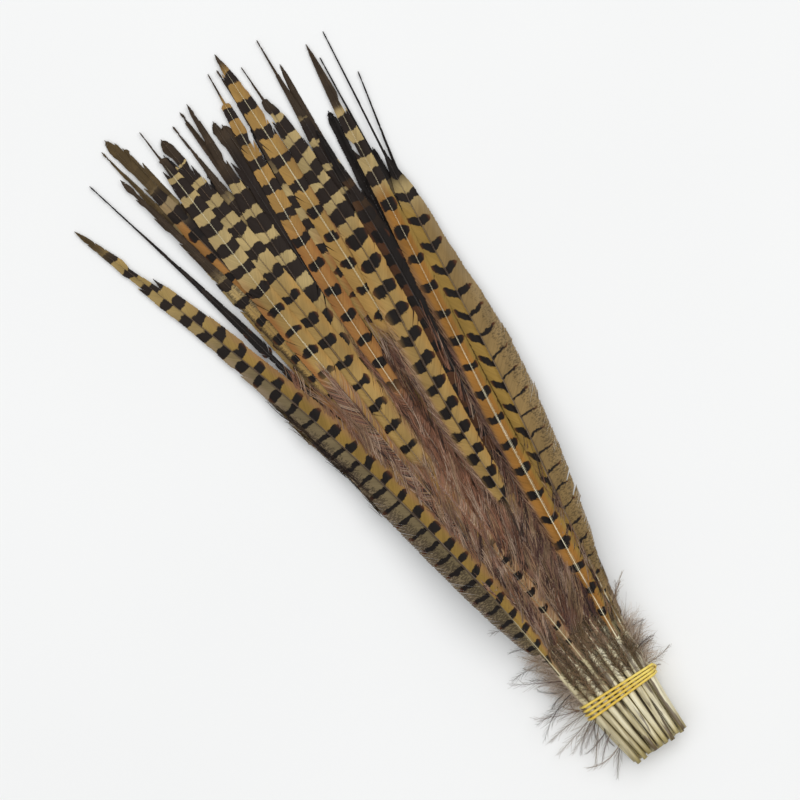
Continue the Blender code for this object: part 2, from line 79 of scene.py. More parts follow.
# %% The four layers of the tie, lowest first
LAYERS = (
    ("bottom", (
        (-18.0, -25.0, -31.5, -36.0, 268.0, 6.0, 7.0, 0.0),
        (-14.0, -20.5, -27.0, -32.0, 286.0, 7.5, 7.5, 0.0),
        (-9.5, -14.5, -19.0, -23.0, 290.0, 8.0, 8.0, 0.0),
        (-5.0, -8.5, -10.5, -12.0, 276.0, 8.0, 8.0, 0.0),
        (-0.5, -1.0, 0.5, 2.0, 296.0, 8.0, 8.0, 0.0),
        (4.5, 7.5, 10.5, 14.0, 284.0, 8.0, 8.0, 0.0),
        (10.5, 17.0, 25.0, 31.5, 284.0, 6.5, 5.5, 0.0),
        (16.5, 26.0, 33.5, 36.0, 256.0, 7.5, 6.5, 0.0),
    )),
    ("lower", (
        (-20.0, -28.0, -37.5, -52.8, 320.8, 4.5, 6.5, 12.0),
        (-16.0, -23.0, -31.5, -45.0, 317.4, 6.0, 6.5, 0.0),
        (-12.0, -18.0, -24.5, -33.0, 306.0, 7.5, 7.5, 0.0),
        (-8.0, -12.5, -17.5, -23.5, 313.5, 7.5, 6.5, 14.0),
        (-4.0, -8.0, -12.5, -18.0, 316.6, 7.0, 7.0, 0.0),
        (0.0, -1.5, -4.0, -6.8, 303.2, 7.5, 7.5, 0.0),
        (4.5, 4.0, 2.5, 3.6, 322.3, 7.5, 7.0, 16.0),
        (10.0, 16.0, 22.5, 25.0, 250.0, 7.5, 7.5, 0.0),
        (16.0, 25.5, 33.5, 38.0, 262.0, 7.5, 7.5, 0.0),
    )),
    ("upper", (
        (-21.5, -32.5, -45.3, -64.4, 312.2, 3.0, 4.0, 96.0),
        (-17.3, -24.0, -33.1, -49.2, 324.1, 6.5, 8.0, 0.0),
        (-12.5, -15.5, -17.0, -13.9, 317.7, 7.0, 6.0, 0.0),
        (-7.5, -9.5, -11.0, -9.1, 306.2, 7.5, 7.0, 0.0),
        (-1.0, 6.5, 17.0, 23.6, 323.3, 6.5, 6.5, 16.0),
        (4.0, 10.5, 16.8, 25.9, 310.2, 7.0, 6.5, 0.0),
        (9.5, 14.5, 20.8, 23.3, 280.6, 7.5, 7.0, 0.0),
        (15.0, 24.5, 33.5, 40.7, 303.5, 7.0, 6.5, 46.0),
        (19.5, 29.0, 37.5, 50.2, 290.4, 6.5, 6.5, 42.0),
    )),
    ("top", (
        (-23.0, -36.2, -55.3, -79.5, 300.6, None, None, 0.0),
        (-19.0, -27.0, -37.4, -52.8, 307.3, None, None, 0.0),
        (-15.3, -23.2, -29.8, -35.8, 318.9, None, None, 14.0),
        (-10.4, -17.4, -22.3, -30.4, 311.8, None, None, 0.0),
        (-6.0, -7.9, -7.1, -0.2, 323.0, None, None, 14.0),
        (-1.0, 2.0, 4.8, 6.5, 328.0, None, None, 0.0),
        (3.4, 5.0, 12.3, 12.4, 317.8, None, None, 16.0),
        (13.0, 20.7, 29.8, 39.0, 311.0, None, None, 0.0),
        (18.8, 29.6, 37.4, 47.5, 311.5, None, None, 56.0),
    )),
)
# where the first three numbers of a row are measured
BEND_PLACES = (90.0, 160.0, 230.0)
# half-widths of the left and right vane of each top feather, after the distance from the cut ends: the third
# one's right vane is narrower than the solid's from 120 to 184 mm, where the next feather covers it
TOP_OUTLINES = (
    ((66, 5.4, 4.6), (80, 7.4, 5.6), (100, 8.8, 6.3), (140, 9.4, 6.4), (160, 8.0, 7.2), (180, 8.2, 6.8),
     (200, 6.2, 5.8), (220, 5.0, 5.4), (240, 4.2, 5.0), (260, 3.6, 4.2), (272, 3.1, 3.0), (281, 2.0, 2.1),
     (300, 0.7, 0.7)),
    ((66, 3.5, 3.5), (140, 3.5, 4.5), (180, 3.5, 5.0), (205, 3.0, 4.5), (220, 3.0, 3.4), (240, 2.8, 2.5),
     (260, 2.0, 1.8), (285, 1.6, 1.5), (304, 1.2, 1.0)),
    ((66, 3.0, 3.0), (120, 4.0, 2.2), (164, 4.7, 2.2), (184, 5.0, 3.8), (218, 5.4, 4.2), (240, 5.4, 3.8),
     (260, 4.8, 4.0), (280, 4.1, 4.0), (292, 3.4, 3.2), (304, 2.0, 2.0)),
    ((66, 2.6, 3.2), (90, 3.0, 4.2), (130, 4.0, 5.0), (164, 4.8, 6.0), (190, 5.6, 6.3), (210, 5.6, 5.8),
     (230, 5.0, 5.1), (250, 4.7, 4.8), (270, 4.8, 4.2), (282, 4.2, 3.9), (291, 3.2, 3.3), (302, 2.6, 2.6),
     (311, 2.3, 2.3)),
    ((66, 2.5, 2.5), (100, 3.0, 3.0), (180, 3.2, 3.6), (210, 3.4, 4.0), (230, 3.6, 4.1), (250, 3.5, 3.8),
     (270, 3.4, 3.5), (290, 3.0, 3.0), (309, 1.8, 1.8)),
    ((66, 2.5, 2.5), (100, 3.0, 3.4), (150, 3.6, 4.0), (200, 4.5, 4.5), (230, 4.8, 4.5), (250, 4.2, 4.2),
     (270, 4.1, 3.8), (290, 3.9, 3.5), (306, 3.3, 3.1), (316, 2.5, 2.3), (326, 0.9, 0.8)),
    ((66, 3.0, 3.0), (90, 3.6, 3.2), (110, 4.4, 3.4), (126, 5.6, 4.0), (148, 6.6, 5.0), (180, 6.4, 6.0),
     (205, 6.3, 5.8), (223, 5.2, 5.0), (235, 4.8, 4.7), (250, 4.7, 4.4), (265, 4.1, 4.0), (280, 3.2, 4.2),
     (292, 2.3, 3.6), (301, 1.4, 1.5)),
    ((66, 3.0, 3.9), (90, 4.8, 4.2), (110, 6.0, 3.7), (150, 6.0, 3.4), (170, 4.6, 3.2), (190, 4.3, 3.2),
     (210, 4.5, 3.4), (230, 3.9, 3.3), (250, 3.3, 3.2), (270, 3.1, 3.1), (280, 2.4, 2.5), (290, 1.9, 1.9),
     (300, 1.2, 1.3), (310, 0.5, 0.5)),
    ((66, 1.8, 1.8), (80, 2.6, 4.6), (90, 3.0, 6.8), (110, 3.4, 8.8), (130, 4.2, 9.4), (150, 5.0, 10.4),
     (170, 5.2, 10.3), (190, 5.1, 8.8), (202, 5.0, 7.2), (216, 4.8, 6.2), (232, 4.4, 5.4), (241, 3.4, 4.2),
     (248, 2.0, 2.4), (255, 0.8, 0.8)),
)
TIE_X = -1.7
TIE_Y = 28.0
QUILL_PITCH = 3.4
# each layer sits a little aside, and the cut ends draw together
LAYER_SHIFTS = (0.0, -0.8, 0.8, 0.0)
CUT_GATHER = 0.8
QUILL_RADIUS = 1.45
CUT_RADIUS = 1.0
TIP_RADIUS = 0.22
SHAFT_TAPER = 0.92
SHAFT_CURVE = 1.15
VANE_START = 54.0
# two neighbours in a layer leave this much between them, and more past the second distance
APART = 0.75
LOOSE_FROM = 90.0
LOOSENING = 0.15
BARE_EDGE = 0.3
# a vane's half-width against its widest, from its start (0) to its end (1)
VANE_SHAPE = (
    (0.0, 0.28), (0.08, 0.46), (0.2, 0.74), (0.34, 0.93), (0.5, 1.0),
    (0.66, 0.97), (0.8, 0.74), (0.91, 0.46), (1.0, 0.16),
)
print("feathers:", sum(len(lines) for _, lines in LAYERS))

# %% [markdown]
# ## From the table to the frame
#
# The table counts from the cut ends and the frame from the middle of the bunch. The band ties both
# together: its left side and its middle are known in the table, and the frame says where they are. The
# difference could be typed in, but then it would be wrong as soon as the solids moved.

# %% The frame's place of the table's zero
STRAND_RADIUS = 0.45
SOLID_BAND_GAP = 0.3
BAND_MIDDLE_Y = 27.3
most_quills = max(len(lines) for _, lines in LAYERS)
leftmost_quill = TIE_X + min(LAYER_SHIFTS) - (most_quills - 1) / 2 * QUILL_PITCH
band_left_x = leftmost_quill - QUILL_RADIUS - SOLID_BAND_GAP - 2 * STRAND_RADIUS
band_low, band_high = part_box("rubber_band")
ZERO_X = band_low.x / MM - band_left_x
ZERO_Y = (band_low.y + band_high.y) / 2 / MM - BAND_MIDDLE_Y
print(f"the cut ends' middle is at {ZERO_X:.2f}, {ZERO_Y:.2f} mm")

# %% [markdown]
# ## Smooth lines
#
# A shaft bends in one long curve. A cubic through a few places, with slopes taken from the neighbours,
# gives that with no control handles to place.

# %% A smooth line and a soft step
def line_through(places, values):
    places = np.array(places)
    values = np.array(values)
    slopes = np.gradient(values, places)

    def at(y):
        step = np.clip(np.searchsorted(places, y) - 1, 0, len(places) - 2)
        span = places[step + 1] - places[step]
        t = (y - places[step]) / span
        from_low = (2 * t**3 - 3 * t**2 + 1) * values[step] + (t**3 - 2 * t**2 + t) * span * slopes[step]
        to_high = (3 * t**2 - 2 * t**3) * values[step + 1] + (t**3 - t**2) * span * slopes[step + 1]
        return from_low + to_high

    return at


def soft_step(low, high, value):
    """0 below low and 1 above high, with a smooth rise between."""
    t = np.clip((np.asarray(value, float) - low) / (high - low), 0, 1)
    return t * t * (3 - 2 * t)


def blended(first, second, share):
    """From the first to the second by a share for each point. Works for numbers and for colours."""
    share = np.asarray(share)[..., None] if np.ndim(first) or np.ndim(second) else share
    return np.asarray(first) * (1 - share) + np.asarray(second) * share


print("half way:", soft_step(0, 1, 0.5))

# %% [markdown]
# ## The colours of a cock pheasant's tail
#
# The ground runs from olive tan to chestnut, the bars are near black, the loose hairs a purplish brown and
# the down grey. The colours are given as they look, from 0 to 255, and turned into the linear values that
# shaders use. Linear values could be given at once, but they are hard to picture.

# %% The palette
def seen(red, green, blue):
    """A colour as the eye sees it, in the linear values of a shader, by the usual curve of screens."""
    shares = np.array((red, green, blue)) / 255
    return np.where(shares < 0.04045, shares / 12.92, ((shares + 0.055) / 1.055) ** 2.4)


OLIVE_TAN = seen(156, 127, 74)
YELLOW_OLIVE = seen(142, 113, 54)
GOLD_TAN = seen(162, 127, 70)
PATCH_TAN = seen(172, 152, 106)
GREY_TAN = seen(118, 102, 76)
CHESTNUT = seen(144, 98, 52)
AMBER = seen(150, 106, 56)
ORANGE = seen(150, 104, 46)
RUST = seen(118, 66, 32)
PINK_TAN = seen(142, 98, 75)
MAUVE = seen(124, 93, 77)
PLUM = seen(84, 58, 53)
TAN_HAIR = seen(147, 119, 90)
DARK_HAIR = seen(52, 41, 37)
WARM_HAIR = seen(98, 64, 46)
PALE_PINK = seen(173, 148, 128)
DARK_BROWN = seen(40, 31, 26)
OLIVE_BROWN = seen(84, 68, 42)
TIP_BROWN = seen(64, 51, 38)
SOOT = seen(24, 19, 17)
DOWN_GREY = seen(158, 138, 116)
DOWN_BROWN = seen(118, 98, 76)
FLUFF = seen(196, 180, 164)
STRAW = seen(238, 228, 192)
GREEN_HORN = seen(168, 152, 98)
STAIN = seen(84, 66, 50)
MAUVE_HAIRS = (MAUVE, PLUM, TAN_HAIR, DARK_HAIR, PINK_TAN, DARK_HAIR, PALE_PINK)
PINK_HAIRS = (PINK_TAN, TAN_HAIR, MAUVE, PALE_PINK, PINK_TAN)
WARM_HAIRS = (WARM_HAIR, DARK_HAIR, PINK_TAN, WARM_HAIR, MAUVE)
PLUM_HAIRS = (PLUM, DARK_HAIR, DARK_HAIR, PLUM, MAUVE, TAN_HAIR)
DARK_HAIRS = (DARK_HAIR, SOOT, OLIVE_BROWN, DARK_HAIR)
PALE_HAIRS = (PALE_PINK, MAUVE, TAN_HAIR, PLUM)
TAN_HAIRS = (TAN_HAIR, GOLD_TAN, MAUVE, CHESTNUT)
# the colour of a shaft, and from where to where it takes over from the quill's
BROWN_SHAFT = (seen(70, 52, 34), 62, 84)
BLACK_SHAFT = (seen(34, 27, 23), 62, 84)
PALE_SHAFT = (seen(212, 198, 162), 320, 330)
print("olive tan in linear values:", np.round(OLIVE_TAN, 3))

# %% [markdown]
# ## How each feather differs
#
# No two feathers in the bunch are marked alike. A look says what sets one apart: the colours beside the
# shaft and at the edges of its left and right vanes, where its bars are, how far they reach across, where
# the dark tip starts, where long loose hairs hang from the vane, and how it ends. What a look doesn't say
# is taken from the plain one. In a look, a list gives one value for the left vane and one for the right,
# and any other value serves both.

# %% The plain look and what each seen feather changes
SIDED = ("near", "far", "bars", "bar_size", "reach", "slant", "fringe", "hair", "edge_hairs", "mottled")
# a distance that no feather reaches
PAST_TIP = 330
PLAIN_LOOK = dict(
    near=OLIVE_TAN,
    far=OLIVE_TAN,
    # distance from the cut ends and number of some bars: the rest lie evenly between
    bars=((140, 10), (250, 0)),
    # at a distance, half the width of a bar against the way from one to the next
    bar_size=((130, 0.14), (210, 0.17), (290, 0.3)),
    # how far across the vane the bars reach, and from where to where they grow past its edge
    reach=0.8,
    full_from=(228, 256),
    # how far a bar bends towards the cut ends at the edge, against the vane's width
    slant=0.12,
    # the ground between the bars that cross the whole vane
    patch=PATCH_TAN,
    tip_dark=(286, 300),
    tip_colour=TIP_BROWN,
    # where loose hairs hang: from, to, the longest and how many for each mm
    fringe=None,
    hair=MAUVE_HAIRS,
    # hairs along the edge of a vane that holds together, with their heading
    edge_hairs=None,
    # between these distances the vane is as dull as the hair that covers it
    buried=(0, 0),
    # below this distance the vane has turned to the colour of its hairs, bars and all
    pale_root=0,
    # half-width of the narrow vane along a worn tip, where it starts
    sliver=0.0,
    # fine dark lines: up to where, and how dense
    mottled=None,
    shaft=BROWN_SHAFT,
    # the places and half-widths that no loose hair covers
    clear=None,
    # how wide the vane still is near its tip, against its widest
    blunt=0.0,
    # shares of the locks that are broken near the tip and that part, and how far all draw together
    worn=0.1,
    split=0.07,
    parted=1.0,
    # how far the shaft lies above its solid's in the lower third
    lifted=0.0,
    # how stained the quill is, where the dice don't say
    stain=None,
)
# the feathers under the others show only in the gaps between them, so they are painted dark brown to black as
# painted shade
SHADED_HIDDEN_LOOK = dict(
    near=DARK_BROWN, far=SOOT, patch=DARK_BROWN, tip_dark=(225, 250), tip_colour=SOOT, shaft=BLACK_SHAFT,
)
LOOKS = {
    "feather_top_1": dict(
        near=[seen(112, 98, 71), YELLOW_OLIVE], far=[seen(130, 114, 92), seen(146, 110, 68)],
        bars=[((61, 26), (124, 17), (168.5, 11), (218.5, 5), (265.5, 0)),
              ((61.5, 23), (84.5, 20), (113, 16), (166.5, 10), (223, 4), (263.5, 0))],
        bar_size=[((185, 0.13), (210, 0.22)), ((130, 0.2), (260, 0.22))],
        reach=[0.98, 0.8], full_from=(208, 262), patch=seen(160, 136, 84), mottled=[(206, 1.0), None],
        tip_dark=(280, 290), tip_colour=OLIVE_BROWN, hair=[DARK_HAIRS, PINK_HAIRS],
        edge_hairs=[(140, 204, 9, 3.6, 2), (92, 204, 12, 3.3, 33)],
        worn=0.3, split=0.03, parted=0.15, lifted=0.6,
        clear=((30, 0.9, 0.9), (52, 1.5, 1.5), (62, 9, 4.4), (80, 10, 5.6), (138, 10, 6.5), (150, 6.5, 6.6),
               (196, 5, 6.9), (212, 10, 7.1), (300, 12, 9)),
    ),
    "feather_top_2": dict(
        far=[OLIVE_BROWN, GREY_TAN], bars=((199, 5), (249, 0)), mottled=(PAST_TIP, 0.8), tip_dark=(244, 258),
        worn=0.3, fringe=[(60, 186, 12, 1.6), (60, 196, 15, 2.2)], hair=[PINK_HAIRS, MAUVE_HAIRS],
        buried=(0, 188), clear=((188, 0, 0), (202, 4, 4)),
    ),
    "feather_top_3": dict(
        far=[CHESTNUT, GOLD_TAN], bars=((218.5, 5), (271, 0), (290.5, -2)),
        bar_size=((218, 0.16), (245, 0.19), (260, 0.24), (271, 0.28), (290, 0.36)),
        fringe=[(60, 176, 14, 1.8), (60, 204, 16, 2.4)], hair=[MAUVE_HAIRS, TAN_HAIRS],
        shaft=PALE_SHAFT, tip_dark=(298, 302), worn=0.2, buried=(0, 198), clear=((200, 0, 0), (220, 6, 5)),
    ),
    "feather_top_4": dict(
        far=GOLD_TAN, bars=((55, 21), (104.5, 15), (154.5, 10), (207, 5), (264.5, 0), (294, -3)),
        bar_size=((130, 0.14), (210, 0.16), (264, 0.22), (284, 0.3), (294, 0.4), (300, 0.46)),
        reach=[0.86, 0.82], tip_dark=(299, 303), fringe=[(56, 150, 14, 2.6), (100, 186, 16, 3.0)],
        hair=PINK_HAIRS, buried=(106, 150), pale_root=110, lifted=1.0,
        clear=((30, 0.9, 0.9), (56, 1.0, 1.0), (62, 1.2, 4.0), (100, 1.2, 3.0), (108, 0, 0), (146, 0, 0),
               (152, 5, 5), (164, 6, 7), (215, 8, 8)),
    ),
    "feather_top_5": dict(
        near=AMBER, far=CHESTNUT, bars=((189, 7), (211, 5), (271, 0), (304.5, -3)),
        bar_size=((211, 0.16), (294, 0.2)), reach=0.96, full_from=(240, 262), patch=GOLD_TAN,
        tip_dark=(308, 316), shaft=PALE_SHAFT, fringe=[(60, 190, 16, 3.0), (56, 190, 16, 3.0)],
        hair=WARM_HAIRS, buried=(0, 180),
        clear=((30, 0.7, 0.7), (48, 0.7, 0.7), (52, 0, 0), (160, 0, 0), (180, 3, 3.5), (220, 5, 5)),
    ),
    "feather_top_6": dict(
        near=GOLD_TAN, far=[GOLD_TAN, PINK_TAN], bars=((229, 3), (265.5, 0), (290.5, -2), (316.5, -4)),
        bar_size=((229, 0.15), (290, 0.2)), reach=[0.8, 0.55], full_from=(246, 270), patch=GOLD_TAN,
        tip_dark=(318, 325), shaft=PALE_SHAFT, fringe=[(56, 184, 16, 2.6), (60, 218, 18, 2.6)],
        hair=[MAUVE_HAIRS, PALE_HAIRS], buried=(0, 200),
        clear=((30, 0.7, 0.7), (45, 0.7, 0.7), (49, 0, 0), (190, 0, 0), (206, 4, 2), (240, 8, 9)),
    ),
    "feather_top_7": dict(
        far=GOLD_TAN,
        bars=[((125.5, 11), (178, 6), (234, 1), (245.5, 0), (257, -1), (265, -2), (288, -4)),
              ((129, 11), (180, 6), (235, 1), (247, 0), (258, -1), (267.5, -2), (288, -4))],
        bar_size=((130, 0.2), (210, 0.23), (234, 0.26), (246, 0.33), (262, 0.3), (276, 0.25), (288, 0.36)),
        reach=0.94, tip_dark=(295, 298), fringe=[(56, 216, 16, 2.4), (56, 130, 16, 2.4)],
        hair=[PALE_HAIRS, MAUVE_HAIRS], buried=(0, 115), lifted=0.4,
        clear=((114, 0, 0), (124, 5, 4.2), (136, 6.6, 5.0), (150, 7, 5.6), (180, 7, 6.6), (230, 9, 9)),
    ),
    "feather_top_8": dict(
        near=ORANGE, far=[seen(140, 100, 54), YELLOW_OLIVE],
        bars=((47, 18), (88.5, 14), (144, 9), (190.5, 5), (251, 0), (276, -2)),
        bar_size=((130, 0.15), (210, 0.16), (262, 0.27)), reach=[0.96, 0.9], slant=0.22,
        tip_dark=(281, 284), full_from=(240, 252), fringe=[(90, 226, 14, 2.0), None],
        hair=[PLUM_HAIRS, MAUVE_HAIRS], shaft=(PALE_SHAFT[0], 170, 190), lifted=1.1,
        clear=((30, 0.9, 0.9), (46, 0.9, 1.4), (50, 0.8, 3.5), (66, 0.6, 3.8), (78, 1.5, 4.2), (90, 4.6, 4.6),
               (110, 6, 5), (240, 7, 8)),
    ),
    "feather_top_9": dict(
        near=[YELLOW_OLIVE, seen(132, 108, 68)], far=[YELLOW_OLIVE, seen(142, 120, 84)],
        bars=[((132.5, 10), (204, 3), (237, 0)), ((86, 17), (107.5, 14), (147, 9), (194, 4), (237, 0))],
        bar_size=[((130, 0.17), (210, 0.2)), ((165, 0.06), (200, 0.15), (230, 0.18))],
        reach=[0.95, 0.8], slant=[0.9, 0.27], full_from=(228, 244), mottled=[None, (208, 0.5)],
        tip_dark=(240, 250), tip_colour=SOOT, fringe=[(56, 140, 14, 2.4), None],
        hair=[MAUVE_HAIRS, TAN_HAIRS], lifted=0.2, split=0.02, parted=0.15, stain=1.0,
        clear=((50, 0, 1), (64, 0, 9), (126, 0, 11), (142, 5.5, 12)),
    ),
    "feather_upper_1": dict(
        near=SOOT, far=SOOT, tip_colour=SOOT, patch=SOOT, shaft=(BLACK_SHAFT[0], 60, 80), sliver=2.3,
        fringe=[(56, 120, 12, 1.4), (56, 150, 16, 1.4)],
    ),
    "feather_upper_2": dict(
        # its right vane is painted dark brown to black, as painted shade from the feathers that lie over it
        near=[AMBER, DARK_BROWN], far=[AMBER, SOOT], patch=seen(150, 130, 95), full_from=(276, 288),
        bars=((209, 6), (272, 0)), bar_size=((209, 0.14), (272, 0.2), (286, 0.3)), blunt=0.3, worn=0.3,
        fringe=(56, 190, 14, 1.4), hair=[TAN_HAIRS, MAUVE_HAIRS], tip_dark=(294, 298), tip_colour=OLIVE_BROWN,
    ),
    "feather_upper_3": dict(
        bars=((250, 2), (273, 0)), bar_size=((240, 0.28), (273, 0.34)), full_from=(215, 235), worn=0.25,
        tip_dark=(281, 287), fringe=[(56, 200, 16, 1.4), (56, 220, 18, 1.4)],
    ),
    "feather_upper_4": dict(
        near=SOOT, far=SOOT, patch=DARK_BROWN, shaft=BLACK_SHAFT, fringe=(56, 190, 16, 1.4),
        blunt=0.36, worn=0.25,
    ),
    "feather_upper_5": dict(
        near=seen(96, 62, 34), far=DARK_BROWN, full_from=(200, 240), bars=((259.5, 2), (281.5, 0)),
        bar_size=[((240, 0.36), (290, 0.4)), ((240, 0.42), (290, 0.46))], tip_dark=(283, 290),
        shaft=BLACK_SHAFT, worn=0.2, fringe=(56, 190, 18, 1.4),
    ),
    "feather_upper_6": dict(
        near=seen(96, 58, 30), far=[DARK_BROWN, seen(108, 66, 34)], bar_size=((210, 0.3), (290, 0.4)),
        shaft=BLACK_SHAFT, patch=OLIVE_BROWN, tip_dark=(262, 280), fringe=(56, 190, 18, 1.4),
    ),
    "feather_upper_7": dict(
        near=[seen(72, 45, 27), SOOT], far=[seen(72, 45, 27), SOOT], patch=seen(70, 50, 30),
        bars=((211, 4), (250, 0)), bar_size=((130, 0.2), (210, 0.27), (290, 0.34)), tip_dark=(252, 264),
        tip_colour=SOOT, shaft=BLACK_SHAFT, fringe=[(56, 200, 18, 1.4), (56, 215, 18, 1.4)],
        hair=[MAUVE_HAIRS, DARK_HAIRS],
    ),
    "feather_upper_8": dict(
        near=seen(104, 78, 48), far=DARK_BROWN, tip_dark=(232, 252), tip_colour=SOOT, shaft=BLACK_SHAFT,
        fringe=(56, 170, 18, 1.4),
    ),
    "feather_upper_9": dict(
        near=YELLOW_OLIVE, far=OLIVE_BROWN, tip_dark=(232, 250), tip_colour=SOOT, shaft=BLACK_SHAFT,
        fringe=[(56, 130, 14, 1.4), None],
    ),
    "feather_bottom_7": dict(
        near=SOOT, far=SOOT, patch=SOOT, tip_dark=(200, 220), tip_colour=SOOT, blunt=0.3, shaft=BLACK_SHAFT,
    ),
    "feather_lower_1": dict(near=GREY_TAN, tip_dark=(270, 290), tip_colour=OLIVE_BROWN, worn=0.3),
    "feather_lower_2": dict(near=CHESTNUT, tip_dark=(278, 296), tip_colour=OLIVE_BROWN, blunt=0.3, worn=0.3),
    "feather_lower_4": dict(near=[CHESTNUT, OLIVE_TAN], tip_dark=(268, 285), worn=0.3),
    "feather_lower_5": dict(
        bar_size=((130, 0.14), (210, 0.17), (262, 0.26), (278, 0.42)), tip_dark=(262, 280), worn=0.3,
    ),
    "feather_lower_6": dict(near=seen(104, 78, 54), tip_dark=(240, 262), blunt=0.32),
    "feather_lower_7": dict(near=CHESTNUT, tip_dark=(262, 285)),
}


def look_of(name):
    """The look of a feather, with a left and a right value of everything that differs between its vanes."""
    look = {**PLAIN_LOOK, **LOOKS.get(name, SHADED_HIDDEN_LOOK)}
    for key in SIDED:
        if not isinstance(look[key], list):
            look[key] = [look[key]] * 2
    return look


print("feathers with a look of their own:", len(LOOKS))

# %% [markdown]
# ## The plan of a feather and its height
#
# The solids already lie on each other without touching, so each feather takes its height from its own
# solid. A ray from above finds the top of the shaft and of both vanes every few millimetres, and a
# smoothing rounds off the solid's facets. In the lowest third the barbs of the top feathers reach over
# their neighbours, as wide as their outlines say.

# %% One feather's plan and heights
HEIGHT_STEP = 2.0
EDGE_SHARE = 0.8
SMOOTHING = 3.0
SKY = 0.1
BARBS_FROM = 46.0
# the shaft gets this much slimmer than its solid between these distances
SLIM_SHAFT = 0.42
SLIM_FROM = (34, 62)
# where a lifted feather rises and comes down again, and how much of the lift its edges take
LIFT_FROM = (36, 60)
LIFT_TO = (110, 180)
LIFTED_EDGE = 0.6
# a top vane starts at this share of its outline and is as wide after so many millimetres
BASE_SHARE = 0.25
BASE_GROWTH = 20
# the other vanes lose this share of their width before the tip
TIP_LOSS = 0.4
TIP_LOSS_FROM = (80, 20)
BLUNT_FROM = (150, 250)
TIP_ROUNDING = 5.0
ROUNDING_POWER = 0.6
PAST_SHAFT = 0.3
LEAST_VANE = 0.15
# what is left on a worn tip
BARE_BARBS = 0.22
BARE_TAPER = 0.75
SLIVER_POWER = 1.6
# how far a vane arches between shaft and edge, and how far its barbs start above the shaft's middle
ARCH = 0.35
ARCH_FROM = (70, 120)
BARB_ROOT = 0.9
OVER_SHAFT = 0.04


def smoothed(values, reach):
    """A running average with a bell-shaped weight, reach steps wide."""
    steps = np.arange(-int(3 * reach), int(3 * reach) + 1)
    weights = np.exp(-0.5 * (steps / reach) ** 2)
    padded = np.pad(values, len(steps) // 2, mode="edge")
    return np.convolve(padded, weights / weights.sum(), mode="valid")


